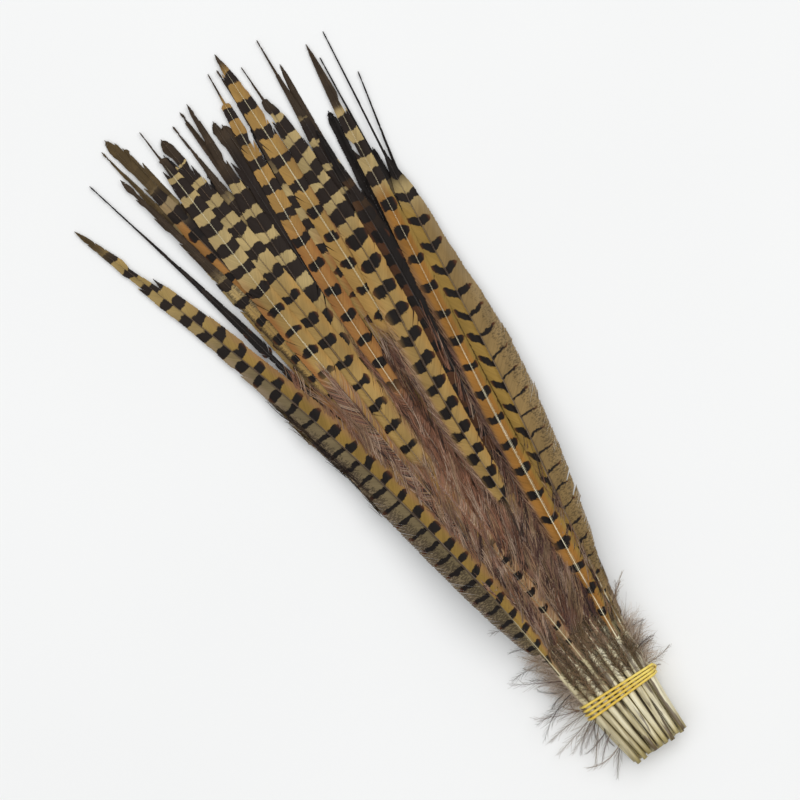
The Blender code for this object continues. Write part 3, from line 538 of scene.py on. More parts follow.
class Feather:
    def __init__(self, layer, place):
        layer_name, lines = LAYERS[layer]
        self.name = f"feather_{layer_name}_{place + 1}"
        self.look = look_of(self.name)
        self.layer = layer
        self.place = place
        self.last_place = len(lines) - 1
        self.tip, *self.widths, worn_length = lines[place][4:]
        self.outline = TOP_OUTLINES[place] if self.widths[0] is None else None
        self.vane_end = self.tip - worn_length
        self.middle = self.middle_line(lines, place)
        near = [place - 1, place + 1]
        self.beside = [self.middle_line(lines, n) if 0 <= n < len(lines) else None for n in near]
        self.read_heights()

    def middle_line(self, lines, place):
        *bends, tip_x, tip_y = lines[place][:5]
        across = (place - (len(lines) - 1) / 2) * QUILL_PITCH + LAYER_SHIFTS[self.layer]
        places = (0.0, TIE_Y, *BEND_PLACES, tip_y)
        return line_through(places, (across * CUT_GATHER, TIE_X + across, *bends, tip_x))

    def solid_radius(self, along):
        along = np.asarray(along, float)
        share = np.clip((along - TIE_Y) / (self.tip - TIE_Y), 0, 1)
        grown = QUILL_RADIUS * (1 - SHAFT_TAPER * share**SHAFT_CURVE) + TIP_RADIUS * share
        cut = CUT_RADIUS + (QUILL_RADIUS - CUT_RADIUS) * np.clip(along / TIE_Y, 0, 1)
        return np.where(along < TIE_Y, cut, grown)

    def radius(self, along):
        """The shaft's radius, slimmer than the solid's where barbs hide its sides."""
        return self.solid_radius(along) * (1 - SLIM_SHAFT * soft_step(*SLIM_FROM, along))

    def outline_width(self, along, side):
        places, *widths = zip(*self.outline)
        return np.interp(along, places, widths[side])

    def solid_width(self, along, side):
        """Half-width of the solid's left vane (side 0) or right one (side 1)."""
        share = (along - VANE_START) / (self.vane_end - VANE_START)
        if self.outline:
            wide = self.outline_width(along, side)
        else:
            wide = self.widths[side] * np.interp(share, *zip(*VANE_SHAPE))
        if self.beside[side]:
            apart = np.abs(self.beside[side](along) - self.middle(along))
            wide = np.minimum(wide, (apart - APART) / 2 + LOOSENING * np.maximum(0, along - LOOSE_FROM))
        bare = self.solid_radius(along) + BARE_EDGE
        return np.where(share > 1, bare, np.maximum(bare, wide))

    def width(self, along, side):
        """Half-width of the barbs: the seen outline or the solid's, narrow at the base and at the tip."""
        along = np.minimum(along, self.tip)
        if self.outline:
            growing = np.clip((along - BARBS_FROM) / BASE_GROWTH, BASE_SHARE, 1)
            wide = self.outline_width(along, side) * growing
        else:
            tapering = soft_step(self.tip - TIP_LOSS_FROM[0], self.tip - TIP_LOSS_FROM[1], along)
            wide = self.solid_width(along, side) * (1 - TIP_LOSS * tapering)
        wide = np.maximum(wide, self.radius(along) + LEAST_VANE)
        if self.vane_end == self.tip:
            if self.look["blunt"]:
                least = self.look["blunt"] * self.widths[side]
                wide = np.maximum(wide, least * soft_step(*BLUNT_FROM, along))
            wide = wide * np.clip((self.tip + PAST_SHAFT - along) / TIP_ROUNDING, 0, 1) ** ROUNDING_POWER
        worn = (along - self.vane_end) / max(self.tip - self.vane_end, 1)
        sliver = self.look["sliver"] * np.clip(1 - worn, 0, 1) ** SLIVER_POWER
        bare = np.maximum((self.radius(along) + BARE_BARBS) * (1 - BARE_TAPER * worn), sliver)
        return np.where(along > self.vane_end, bare, wide)

    def direction(self, along):
        """The unit vector across the feather to its right, as x and y."""
        slope = self.middle(along + 0.5) - self.middle(along - 0.5)
        length = np.hypot(1, slope)
        return 1 / length, -slope / length

    def plan(self, along, offset):
        """x and y in the frame, in mm, of points at a distance along and to the right of the middle line."""
        across_x, across_y = self.direction(along)
        return self.middle(along) + across_x * offset + ZERO_X, along + across_y * offset + ZERO_Y

    def read_heights(self):
        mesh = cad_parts[self.name].data
        corners = [vertex.co for vertex in mesh.vertices]
        solid = BVHTree.FromPolygons(corners, [face.vertices[:] for face in mesh.polygons])
        self.grid = np.arange(0.5, self.tip, HEIGHT_STEP)
        found = np.full((3, len(self.grid)), np.nan)
        for row, reach in enumerate((-1, 0, 1)):
            wide = self.solid_width(self.grid, 0 if reach < 0 else 1) * EDGE_SHARE
            x, y = self.plan(self.grid, reach * wide)
            for i in range(len(self.grid)):
                hit = solid.ray_cast((x[i] * MM, y[i] * MM, SKY), (0, 0, -1))[0]
                if hit:
                    found[row, i] = hit.z / MM
        for row in found:
            known = ~np.isnan(row)
            row[:] = np.interp(self.grid, self.grid[known], row[known])
        root = found[1] - self.solid_radius(self.grid)
        bare = self.grid < VANE_START
        lift = self.look["lifted"] * soft_step(*LIFT_FROM, self.grid) * (1 - soft_step(*LIFT_TO, self.grid))
        self.ridge_heights = smoothed(found[1], SMOOTHING) + lift
        self.edge_heights = []
        for row in (found[0], found[2]):
            edge = root + (row - root) / EDGE_SHARE
            edge[bare] = root[bare]
            self.edge_heights.append(smoothed(edge, SMOOTHING) + LIFTED_EDGE * lift)

    def ridge(self, along):
        return np.interp(along, self.grid, self.ridge_heights)

    def height(self, along, side, share, offset):
        """Height of the vane in mm: over the shaft at its root, then from shaft to edge."""
        radius = self.radius(along)
        ridge = self.ridge(along)
        edge = np.interp(along, self.grid, self.edge_heights[side])
        arch = ARCH * np.sin(np.pi * np.clip(share, 0, 1)) * soft_step(*ARCH_FROM, along)
        vane = (ridge - BARB_ROOT * radius) * (1 - share) + edge * share + arch
        over_shaft = ridge - radius + np.sqrt(np.maximum(radius**2 - offset**2, 0)) + OVER_SHAFT
        return np.where(np.abs(offset) < radius, np.maximum(vane, over_shaft), vane)


feathers = [Feather(layer, place) for layer in range(len(LAYERS)) for place in range(len(LAYERS[layer][1]))]
highest = max(feather.ridge_heights.max() for feather in feathers)
print(f"shafts rise to {highest:.1f} mm above the surface")

# %% [markdown]
# ## A map of the bunch's top
#
# Loose hairs lie over whatever is below them, so they need the height of the whole bunch, not of one
# feather. Rays on a grid of one millimetre give a map of it. It is widened a little and smoothed, because a
# hair bridges the small gaps between feathers.

# %% The height map
MAP_STEP = 1.0
MAP_MARGIN = 14.0
MAP_SMOOTHING = 1.2


def height_map():
    points = []
    faces = []
    for feather in feathers:
        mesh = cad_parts[feather.name].data
        first = len(points)
        points += [vertex.co.copy() for vertex in mesh.vertices]
        faces += [[first + corner for corner in face.vertices] for face in mesh.polygons]
    bunch = BVHTree.FromPolygons(points, faces)
    columns = np.arange(cad_low.x / MM - MAP_MARGIN, cad_high.x / MM + MAP_MARGIN, MAP_STEP)
    rows = np.arange(cad_low.y / MM - MAP_MARGIN, cad_high.y / MM + MAP_MARGIN, MAP_STEP)
    heights = np.zeros((len(rows), len(columns)))
    for i, y in enumerate(rows):
        for j, x in enumerate(columns):
            hit = bunch.ray_cast((x * MM, y * MM, SKY), (0, 0, -1))[0]
            if hit:
                heights[i, j] = hit.z / MM
    for axis in (0, 1):
        heights = np.maximum(heights, np.maximum(np.roll(heights, 1, axis), np.roll(heights, -1, axis)))
        heights = np.apply_along_axis(smoothed, axis, heights, MAP_SMOOTHING)
    return columns, rows, heights


map_columns, map_rows, map_heights = height_map()


def surface(x, y):
    """Height of the bunch's top in mm at places in the frame, also in mm."""
    column = np.clip((x - map_columns[0]) / MAP_STEP, 0, len(map_columns) - 1.001)
    row = np.clip((y - map_rows[0]) / MAP_STEP, 0, len(map_rows) - 1.001)
    j, i = column.astype(int), row.astype(int)
    u, v = column - j, row - i
    low = map_heights[i, j] * (1 - u) + map_heights[i, j + 1] * u
    high = map_heights[i + 1, j] * (1 - u) + map_heights[i + 1, j + 1] * u
    return low * (1 - v) + high * v


print("height map:", map_heights.shape, "highest", round(map_heights.max(), 1), "mm")

# %% [markdown]
# ## A mesh made of strips
#
# A barb is drawn as one narrow strip of quads, thinner towards its end. Thousands of strips go into one
# mesh, so the numbers are worked out for all of them at once and handed to Blender as arrays. A loop that
# made each face would take minutes.
#
# Every point also carries facts that the material reads: where the bars run, the colour of the ground and
# of the bars there, and a number of the barb's own, which gives each barb a slightly different tone.

# %% Collecting strips and tubes into one mesh
FACTS = ("bars", "ground", "ink", "grain")
COLOUR_FACTS = ("ground", "ink")


def with_alpha(colour):
    colour = np.asarray(colour, float)
    return np.concatenate((colour, np.ones(colour.shape[:-1] + (1,))), axis=-1)


def facts_of(bars, ground, ink, grain):
    """The facts of a grid: where its bars are, the colours of the ground and of the bars, and the grain."""
    return dict(zip(FACTS, (bars, with_alpha(ground), with_alpha(ink), grain)))


def plain_facts(ground, grain):
    """The facts of what has no bars."""
    return facts_of(np.zeros(3), ground, SOOT, grain)


def corner_grid(u, v):
    """The map's places for a grid, from a u for its columns and a v for its rows, or the other way round."""
    return np.stack(np.broadcast_arrays(u, v), axis=-1)


class MeshParts:
    """Grids of points, each joined by quads, with a value of every named fact for each point."""

    def __init__(self):
        self.points = []
        self.facts = {name: [] for name in FACTS}
        self.faces = []
        self.corner_maps = []
        self.slots = []
        self.count = 0

    def add_grid(self, points, facts, corner_map, slot, closed=False):
        """points, in mm, is strips x rows x columns x 3. corner_map gives u and v for the same grid, one
        column wider where the grid closes into tubes."""
        strips, rows, columns = points.shape[:3]
        numbers = self.count + np.arange(strips * rows * columns).reshape(strips, rows, columns)
        if closed:
            numbers = np.concatenate((numbers, numbers[:, :, :1]), axis=2)

        def four_corners(grid, axis):
            corners = (grid[:, :-1, :-1], grid[:, :-1, 1:], grid[:, 1:, 1:], grid[:, 1:, :-1])
            return np.stack(corners, axis=axis)

        self.faces.append(four_corners(numbers, -1).reshape(-1, 4))
        self.corner_maps.append(four_corners(corner_map, -2).reshape(-1, 4, 2))
        self.slots.append(np.full(len(self.faces[-1]), slot))
        self.points.append(points.reshape(-1, 3) * MM)
        for name, store in self.facts.items():
            wanted = points.shape[:3] + (4 if name in COLOUR_FACTS else 3,)
            store.append(np.broadcast_to(facts[name], wanted).reshape(-1, wanted[-1]))
        self.count += strips * rows * columns

    def build(self, name, materials):
        points = np.concatenate(self.points)
        faces = np.concatenate(self.faces)
        mesh = bpy.data.meshes.new(name)
        mesh.vertices.add(len(points))
        mesh.vertices.foreach_set("co", points.astype(np.float32).ravel())
        mesh.loops.add(4 * len(faces))
        mesh.loops.foreach_set("vertex_index", faces.astype(np.int32).ravel())
        mesh.polygons.add(len(faces))
        mesh.polygons.foreach_set("loop_start", np.arange(0, 4 * len(faces), 4, dtype=np.int32))
        for finish in materials:
            mesh.materials.append(finish)
        mesh.polygons.foreach_set("material_index", np.concatenate(self.slots).astype(np.int32))
        mesh.update(calc_edges=True)
        mesh.shade_smooth()
        layer = mesh.uv_layers.new(name="OFBake")
        layer.uv.foreach_set("vector", np.concatenate(self.corner_maps).astype(np.float32).ravel())
        for fact, store in self.facts.items():
            kind, values = ("FLOAT_COLOR", "color") if fact in COLOUR_FACTS else ("FLOAT_VECTOR", "vector")
            made = mesh.attributes.new(fact, kind, "POINT")
            made.data.foreach_set(values, np.concatenate(store).astype(np.float32).ravel())
        made = bpy.data.objects.new(name, mesh)
        bpy.context.scene.collection.objects.link(made)
        return made


def ribbons(x, y, z, half, roll):
    """Strips of two columns along rows of points: half is half the width, roll lifts one side."""
    step_x, step_y = np.gradient(x, axis=1), np.gradient(y, axis=1)
    length = np.hypot(step_x, step_y) + 1e-9
    to_x, to_y = step_y / length * half, -step_x / length * half
    right = np.stack((x + to_x, y + to_y, z + roll), axis=-1)
    left = np.stack((x - to_x, y - to_y, z - roll), axis=-1)
    return np.stack((left, right), axis=2)


print("facts carried by each point:", ", ".join(FACTS))

# %% [markdown]
# ## Where barbs grow and how they lie
#
# Barbs leave the shaft at about 45 degrees near the base of a vane, and lean more towards the tip the
# nearer they are to it. Hooks hold them to their neighbours, so the vane looks like one sheet, until
# something pulls a few apart: then they part in locks, with a slit between, and near a worn tip some locks
# break off short. Where a vane ends in a fringe there are no hooks, and each barb turns along the feather
# as a loose hair. A particle system could grow them too, but locks, slits and worn ends are easier to shape
# in arrays of numbers.

# %% The barbs of one vane
# to the left and to the right of a shaft
SIGNS = (-1, 1)
BARB_GAP = 0.40
BARB_WIDTH = 0.40
ROOT_JITTER = 0.2
# barbs of the lower layers start this far below their vane
EARLY_BARBS = 2
# how far along the barb each row of its points is
BARB_ROWS = (0.0, 0.06, 0.14, 0.28, 0.42, 0.57, 0.72, 0.87, 1.0)
# degrees from the shaft, at the base and at the tip of the feather
ROOT_LEAN = 45
TIP_LEAN = 19
LEAN_POWER = 1.3
# a barb bends: it goes out first and along the feather later
LAG_POWER = 1.2
REACH_POWER = 0.95
PULL_POWER = 1.5
# no barb ends farther past the tip
PAST_TIP_BARBS = 0.2
# barbs in a lock, how tightly ordinary locks draw together and how tightly those that part
LOCK_BARBS = (7, 26)
DRAWN = (0.02, 0.1)
DRAWN_APART = (0.25, 0.5)
BROKEN_REACH = (0.35, 0.8)
WORN_FROM = (75, 10)
# how uneven the lengths of locks and of barbs are
UNEVEN_LOCKS = 0.03
UNEVEN_BARBS = 0.012
# barbs loosen over these distances at the two ends of a fringe
LOOSE_BEFORE = (12, 6)
LOOSE_AFTER = 70
# a loose barb runs straight to this share of its length, farther out than a hooked one, and then turns
TURN_AT = 0.5
LOOSE_STRAIGHT = 1.25
LOOSE_REACH = (0.8, 1.2)
LOOSE_POWER = 0.8
LOOSE_SPREAD = 0.06
# how far it runs along the feather, against the longest hairs
LOOSE_LAG = (0.3, 1.0)
LOOSE_LENGTH = 0.6


def locks_of(count, dice, split, parted):
    """The lock that each barb belongs to, and how tightly each lock draws its ends together."""
    sizes = []
    while sum(sizes) < count:
        sizes.append(int(dice.integers(*LOCK_BARBS)))
    lock = np.repeat(np.arange(len(sizes)), sizes)[:count]
    tight = parted * dice.uniform(*DRAWN, len(sizes))
    tight = np.where(dice.random(len(sizes)) < split, dice.uniform(*DRAWN_APART, len(sizes)), tight)
    return lock, tight


def loose_share(zone, along):
    """How loose the barbs that grow there are, from 0 to 1."""
    if zone is None:
        return np.zeros_like(along)
    low, high = zone[:2]
    loosening = soft_step(low - LOOSE_BEFORE[0], low + LOOSE_BEFORE[1], along)
    return loosening * (1 - soft_step(high - LOOSE_AFTER, high, along))


def barb_paths(feather, side, dice, gap):
    """For every barb, one row each: distances along and shares across, with its root, lock and looseness."""
    look = feather.look
    first = BARBS_FROM if feather.outline else VANE_START - EARLY_BARBS
    roots = np.arange(first, feather.tip - PAST_SHAFT, gap)
    roots = roots + dice.uniform(-ROOT_JITTER, ROOT_JITTER, len(roots)) * gap
    way = np.array(BARB_ROWS)[None, :]
    toward_tip = np.clip((roots - VANE_START) / (feather.tip - VANE_START), 0, 1)
    lean = np.radians(ROOT_LEAN + (TIP_LEAN - ROOT_LEAN) * toward_tip**LEAN_POWER)
    lag = feather.width(roots, side) / np.tan(lean)
    lag = 0.5 * (lag + feather.width(roots + lag, side) / np.tan(lean))
    past_tip = np.maximum(0, roots + lag - (feather.tip - TIP_ROUNDING))
    lag = lag - past_tip + TIP_ROUNDING * (1 - np.exp(-past_tip / TIP_ROUNDING))
    zone = look["fringe"][side]
    loose = loose_share(zone, roots)
    longest = zone[2] if zone else 0.0
    lock, tight = locks_of(len(roots), dice, look["split"], look["parted"])
    lock_count = lock.max() + 1
    lock_middle = np.bincount(lock, roots)[lock] / np.bincount(lock)[lock]
    pull = tight[lock] * (1 - loose)
    near_tip = soft_step(feather.tip - WORN_FROM[0], feather.tip - WORN_FROM[1], roots)
    broken = dice.random(lock_count)[lock] < look["worn"] * near_tip
    lock_reach = 1 + dice.normal(0, UNEVEN_LOCKS, lock_count)[lock]
    lock_reach = np.where(broken, dice.uniform(*BROKEN_REACH, lock_count)[lock], lock_reach)
    reach = (lock_reach * (1 + dice.normal(0, UNEVEN_BARBS, len(roots))))[:, None]
    past = np.clip((way - TURN_AT) / (1 - TURN_AT), 0, 1)
    loose = loose[:, None]
    loose_lag = dice.uniform(*LOOSE_LAG, len(roots)) * LOOSE_LENGTH * longest
    loose_lag = loose_lag[:, None] * past**LAG_POWER
    along = roots[:, None] + lag[:, None] * way**LAG_POWER * reach + loose * loose_lag
    along += pull[:, None] * (lock_middle - roots)[:, None] * way**PULL_POWER
    along = np.minimum(along, feather.tip + PAST_TIP_BARBS)
    loose_reach = dice.uniform(*LOOSE_REACH, len(roots))[:, None]
    turn_share = TURN_AT * LOOSE_STRAIGHT
    turned = turn_share + past**LOOSE_POWER * (loose_reach - turn_share)
    free = np.where(way < TURN_AT, way * LOOSE_STRAIGHT, turned)
    share = way**REACH_POWER * reach * (1 - loose) + free * loose
    share += loose * dice.normal(0, LOOSE_SPREAD, len(roots))[:, None] * past**2
    return roots, way, along, share, loose, lock


print("barbs on a vane of 240 mm:", int(240 / BARB_GAP))

# %% [markdown]
# ## Marking the barbs
#
# The bars are a count that rises by one from bar to bar along the feather, and the material darkens each
# barb where the count is near a whole number. So the numbers here only say where the bars are and how wide,
# and the shader draws their edges, sharper than the points of the mesh could. A bar gets thinner to its
# end, so it ends round.

# %% Facts for the material
# how much of a second tone a hair takes, and how bright it is
HAIR_MIX = 0.5
HAIR_BRIGHTNESS = (0.85, 1.15)
# over how many millimetres before and after each end a stretch fades in and out
BURIED_FADES = (6, 6), (10, 3)
PALE_ROOT_FADE = (8, 6)
PALE_ROOT_SHARE = 0.65
# bars that cross the whole vane reach past its edge
PAST_EDGE = 1.6
# where down covers the barbs at the base of a vane, and how much of the bars it hides
DOWN_LENGTH = 12
DOWN_TO = (10, 16)
DOWN_SHARE = 0.8
# fine dark lines: how they fade towards the tip, and where they start across the vane above its base
MOTTLED_FADE = (40, 1)
MOTTLED_FROM = 0.35
MOTTLED_BASE = (90, 130)
MOTTLED_RIM = (0.1, 0.2)
# where the ground takes its edge colour, and how much the last bars and their ground change theirs
EDGE_COLOUR_FROM = (0.4, 0.85)
FULL_SHARE = 0.85
# the ends of the bars are rusty, over this share of the vane, and round
RUSTY_RIM = 0.25
RUSTINESS = 0.5
BAR_END_POWER = 5
# a loose barb has no bars past its turn
TURN_FADE = (0.1, 0.25)
# how dark bars stay in the tip's colour
TIP_INK = 0.8
LEAST_WIDTH = 0.5


def bar_count(anchors, where):
    """The running number of bars at each distance, from the known ones."""
    places, counts = (np.array(row, float) for row in zip(*anchors))
    count = np.interp(where, places, counts)
    low_slope = (counts[1] - counts[0]) / (places[1] - places[0])
    high_slope = (counts[-1] - counts[-2]) / (places[-1] - places[-2])
    count += np.where(where < places[0], (where - places[0]) * low_slope, 0)
    return count + np.where(where > places[-1], (where - places[-1]) * high_slope, 0)


def hair_tones(tones, dice, count, alike=1):
    """A colour for each hair: one of the tones, mixed with another. Some neighbours may be alike."""
    tones = np.array(tones)
    groups = count // alike + 1
    first = tones[np.repeat(dice.integers(0, len(tones), groups), alike)[:count]]
    second = tones[np.repeat(dice.integers(0, len(tones), groups), alike)[:count]]
    return blended(first, second, dice.random(count) * HAIR_MIX) * dice.uniform(*HAIR_BRIGHTNESS, (count, 1))


def buried_share(look, along):
    (low, high), (fade_in, fade_out) = look["buried"], BURIED_FADES
    hidden = soft_step(low - fade_in[0], low + fade_in[1], along)
    return hidden * (1 - soft_step(high - fade_out[0], high + fade_out[1], along))


def mottled_share(look, side, along, share):
    """How dense the fine dark lines are. They stay near the edge but for the base of the vane."""
    if not look["mottled"][side]:
        return np.zeros_like(along)
    mottled_to, density = look["mottled"][side]
    from_share = MOTTLED_FROM * soft_step(*MOTTLED_BASE, along)
    fading = soft_step(mottled_to - MOTTLED_FADE[0], mottled_to + MOTTLED_FADE[1], along)
    before, after = MOTTLED_RIM
    return density * (1 - fading) * soft_step(from_share - before, from_share + after, share)


def barb_facts(feather, side, roots, way, along, share, loose, lock, dice):
    look = feather.look
    wide = np.maximum(feather.width(along, side), LEAST_WIDTH)
    where = along - look["slant"][side] * share * wide
    count = bar_count(look["bars"][side], where)
    full = soft_step(*look["full_from"], where)
    size = np.interp(where, *zip(*look["bar_size"][side]))
    reach = look["reach"][side] + full * (PAST_EDGE - look["reach"][side])
    size = size * np.sqrt(np.clip(1 - (share / reach) ** BAR_END_POWER, 0, 1))
    turned = soft_step(TURN_AT - TURN_FADE[0], TURN_AT + TURN_FADE[1], way) * loose
    strength = (share < reach) * (1 - turned)
    downy_to = BARBS_FROM + DOWN_TO[0] if feather.outline else VANE_START + DOWN_TO[1]
    downy = 1 - soft_step(downy_to - DOWN_LENGTH, downy_to, roots)[:, None]
    buried = buried_share(look, along)
    strength = strength * (1 - DOWN_SHARE * downy) * (1 - buried)
    bars = np.stack((count, size, strength), axis=-1)
    lock_tone = dice.random(lock.max() + 1)[lock]
    tone = (0.5 * lock_tone + 0.5 * dice.random(len(roots)))[:, None] * np.ones_like(along)
    grain = np.stack((along, mottled_share(look, side, along, share), tone), axis=-1)
    ground = blended(look["near"][side], look["far"][side], soft_step(*EDGE_COLOUR_FROM, share))
    ground = blended(ground, look["patch"], FULL_SHARE * full)
    rusty = soft_step(reach - RUSTY_RIM, reach, share) * (1 - full)
    ink = blended(SOOT, RUST, RUSTINESS * rusty)
    ink = blended(ink, DARK_BROWN, FULL_SHARE * full)
    hair = hair_tones(look["hair"][side], dice, len(roots))[:, None, :]
    paling = soft_step(look["pale_root"] - PALE_ROOT_FADE[0], look["pale_root"] + PALE_ROOT_FADE[1], along)
    hairy = np.maximum(np.maximum(turned, buried), PALE_ROOT_SHARE * (1 - paling))
    ground = blended(ground, hair, hairy)
    dark = soft_step(*look["tip_dark"], along)
    ground = blended(ground, look["tip_colour"], dark)
    ink = blended(ink, look["tip_colour"] * TIP_INK, dark)
    down = blended(DOWN_GREY, DOWN_BROWN, dice.random(len(roots)))[:, None, :]
    ground = blended(ground, down, DOWN_SHARE * downy * np.ones_like(along))
    return facts_of(bars, ground, ink, grain)


print("bars between 140 and 250 mm on a plain feather:", PLAIN_LOOK["bars"][0][1])

# %% [markdown]
# ## From paths to a vane
#
# Each path becomes a strip as wide as the gap between barbs, so that neighbours just meet. Barbs start
# inside the shaft, thin towards their ends and roll a little, which lets the light pick out single ones. A
# fringe is thinner still. The UV map holds the strips of one vane side by side.

# %% The mesh of one vane
# barbs start inside the shaft, at this share of its radius
BARB_START = 0.22
LEAST_BARB = 0.05
# how much a barb has thinned at its end, how much more a loose one has, and how unevenly
END_THINNING = 0.45
LOOSE_THINNING = 0.55
THIN_AT = 0.8
UNEVEN_WIDTHS = (0.9, 1.1)
# the roll of a barb against its half-width: the mean and how far it differs
BARB_ROLL = (0.16, 0.07)
LOOSE_LIFT = (0.1, 0.3)
# the lower parts of the top feathers rest on whatever is beside them, this far above it
REST_GAP = 0.12
LIFTED_REST = 0.25
REST_FROM = (0.12, 0.3)
REST_TO = (105, 135)
# the strip of the map that the barbs of one side fill, away from its middle
BARB_MAP = (0.16, 0.32)


def resting(feather, along, share, x, y, z):
    over = surface(x, y) + REST_GAP + LIFTED_REST * feather.look["lifted"]
    reaching = soft_step(*REST_FROM, share) * (1 - soft_step(*REST_TO, along))
    return z + np.maximum(over - z, 0) * reaching


def add_vane(parts, feather, side, dice, coarse):
    gap = BARB_GAP * coarse
    roots, way, along, share, loose, lock = barb_paths(feather, side, dice, gap)
    sign = SIGNS[side]
    start = BARB_START * feather.radius(along)
    offset = sign * (start + np.maximum(feather.width(along, side) - start, LEAST_BARB) * share)
    x, y = feather.plan(along, offset)
    z = feather.height(along, side, share, offset)
    z += loose * (LOOSE_LIFT[0] + LOOSE_LIFT[1] * dice.random(len(roots))[:, None]) * way
    if feather.outline:
        z = resting(feather, along, share, x, y, z)
    thinning = (1 - END_THINNING * way**2) * (1 - LOOSE_THINNING * loose * soft_step(TURN_AT, THIN_AT, way))
    half = 0.5 * BARB_WIDTH * coarse * thinning * dice.uniform(*UNEVEN_WIDTHS, len(roots))[:, None]
    roll = dice.normal(*BARB_ROLL, len(roots))[:, None] * half * sign
    facts = barb_facts(feather, side, roots, way, along, share, loose, lock, dice)
    facts = {name: values[:, :, None, :] for name, values in facts.items()}
    u = np.stack((roots + sign * gap / 2, roots - sign * gap / 2), axis=-1)[:, None, :] / (feather.tip + gap)
    v = 0.5 + sign * (BARB_MAP[0] + BARB_MAP[1] * way)
    parts.add_grid(ribbons(x, y, z, half, -roll), facts, corner_grid(u, v[:, :, None]), 0)


print("a barb is", BARB_WIDTH, "mm wide")

# %% [markdown]
# ## The shaft and the quill
#
# The shaft is a tube that thins towards the tip, bare and straw-coloured where it is cut. The cut end is
# hollow, so the tube turns inwards there before it closes. Quills stain with age: each has its own tone and
# streaks, and they were trimmed together, but not quite level.

# %% The tube of one feather
SHAFT_SIDES = 8
FIRST_RING = 3
RING_STEP = 4.0
# the hollow of the cut end: how deep, how wide against the quill, and how unevenly the quills were trimmed
HOLLOW_DEPTH = 2.2
HOLLOW_SHARES = (0.05, 0.62, 0.62, 1.0)
TRIM = 0.7
POINT_RADIUS = 0.02
# each quill bends a little by itself, up to the last of these distances
SWAY = 0.25
SWAY_LENGTH = 9
SWAY_TO = (30, 60)
# a few quills are green, and the first ones of each layer always are
GREEN_QUILLS = 2
GREEN_SHARE = 0.8
GREEN_POWER = 2.5
OLIVE_SIDE = 0.5
# how brown a quill may be all over, what the first ones may add, how much dark scraps may cover, and where
# these end
STAIN_SHARES = (0.12, 0.2)
MOST_STAINED = 0.8
STAIN_TO = (60, 90)
# where loose hairs hide a shaft it takes their colour
HAIR_OVER_SHAFT = 0.85
HAIR_FROM = (56, 72)
# the green at the cut end is this long, and up to twice the next number longer, in three kinds
CUT_STAIN = (6, 4, 3)
# the strip of the map that a shaft fills, and how much longer than the feather the map is
SHAFT_MAP = (0.46, 0.08)
SHAFT_MAP_ENDS = 1.5


def quill_colours(feather, dice, along):
    look = feather.look
    shaft, from_y, to_y = look["shaft"]
    olive_side = OLIVE_SIDE * (feather.place < GREEN_QUILLS)
    green = min(GREEN_SHARE * dice.random() ** GREEN_POWER + olive_side, 1.0)
    quill = blended(STRAW, GREEN_HORN, green)
    quill = blended(quill, STAIN, (STAIN_SHARES[0] + STAIN_SHARES[1] * olive_side) * dice.random())
    colour = blended(quill, shaft, soft_step(from_y, to_y, along))
    hidden = HAIR_OVER_SHAFT * soft_step(*HAIR_FROM, along) * buried_share(look, along)
    colour = blended(colour, WARM_HAIR, hidden)
    colour = blended(colour, look["tip_colour"], soft_step(*look["tip_dark"], along))
    least, more, kinds = CUT_STAIN
    colour = blended(GREEN_HORN, colour, soft_step(0, least + more * (feather.place % kinds), along))
    colour[:2] = DOWN_BROWN
    return colour


def add_shaft(parts, feather, dice):
    cut = dice.uniform(-TRIM, TRIM)
    hollow = cut + np.array((HOLLOW_DEPTH, HOLLOW_DEPTH, 0.0, 0.0))
    along = np.concatenate((hollow, np.linspace(FIRST_RING, feather.tip, int(feather.tip / RING_STEP))))
    radius = feather.radius(along)
    radius[:4] = radius[3] * np.array(HOLLOW_SHARES)
    radius = np.append(radius, POINT_RADIUS)
    along = np.append(along, feather.tip + PAST_SHAFT)
    turn = 2 * np.pi * np.arange(SHAFT_SIDES) / SHAFT_SIDES
    sway = SWAY * np.sin(along / SWAY_LENGTH + dice.uniform(0, 6)) * (1 - soft_step(*SWAY_TO, along))
    offset = radius[:, None] * np.cos(turn)[None, :]
    centre = feather.ridge(along) - np.interp(along, feather.grid, feather.radius(feather.grid))
    x, y = feather.plan(along[:, None] * np.ones_like(offset), offset + sway[:, None])
    z = centre[:, None] + radius[:, None] * np.sin(turn)[None, :]
    colour = quill_colours(feather, dice, along)
    stained = feather.look["stain"] or MOST_STAINED * dice.random()
    stain = stained * (1 - soft_step(*STAIN_TO, along))
    grain = np.stack((along, stain, 0 * along + feather.place / 9), axis=-1)
    u = (along + TRIM) / (feather.tip + SHAFT_MAP_ENDS)
    v = SHAFT_MAP[0] + SHAFT_MAP[1] * np.arange(SHAFT_SIDES + 1) / SHAFT_SIDES
    # the rings are given from the tip down, so that the faces look outwards
    points = np.stack((x, y, z), axis=-1)[None, ::-1]
    facts = plain_facts(colour[None, ::-1, None, :], grain[None, ::-1, None, :])
    parts.add_grid(points, facts, corner_grid(u[::-1, None], v[None, :])[None], 1, closed=True)


print("rings on a shaft of 300 mm:", int(300 / RING_STEP))

# %% [markdown]
# ## Loose hairs, down and fluff
#
# Four kinds of hair cover the lower half of the bunch. Long hairs hang from the fringes and lie along the
# feathers, and shorter ones cover the base of the top vanes. Soft down grows on the quills above the band,
# pressed flat by its neighbours, and pale fluff stands out at the sides. All of them are strips too, laid
# over the height map or left free in the air, so one function makes them, and each kind is a recipe of
# random ranges.

# %% The recipes
# this many neighbouring hairs start and lean alike
CLUMP = 6
DOWN_CLUMP = 4
PLUM_PLACES = (5, 6)
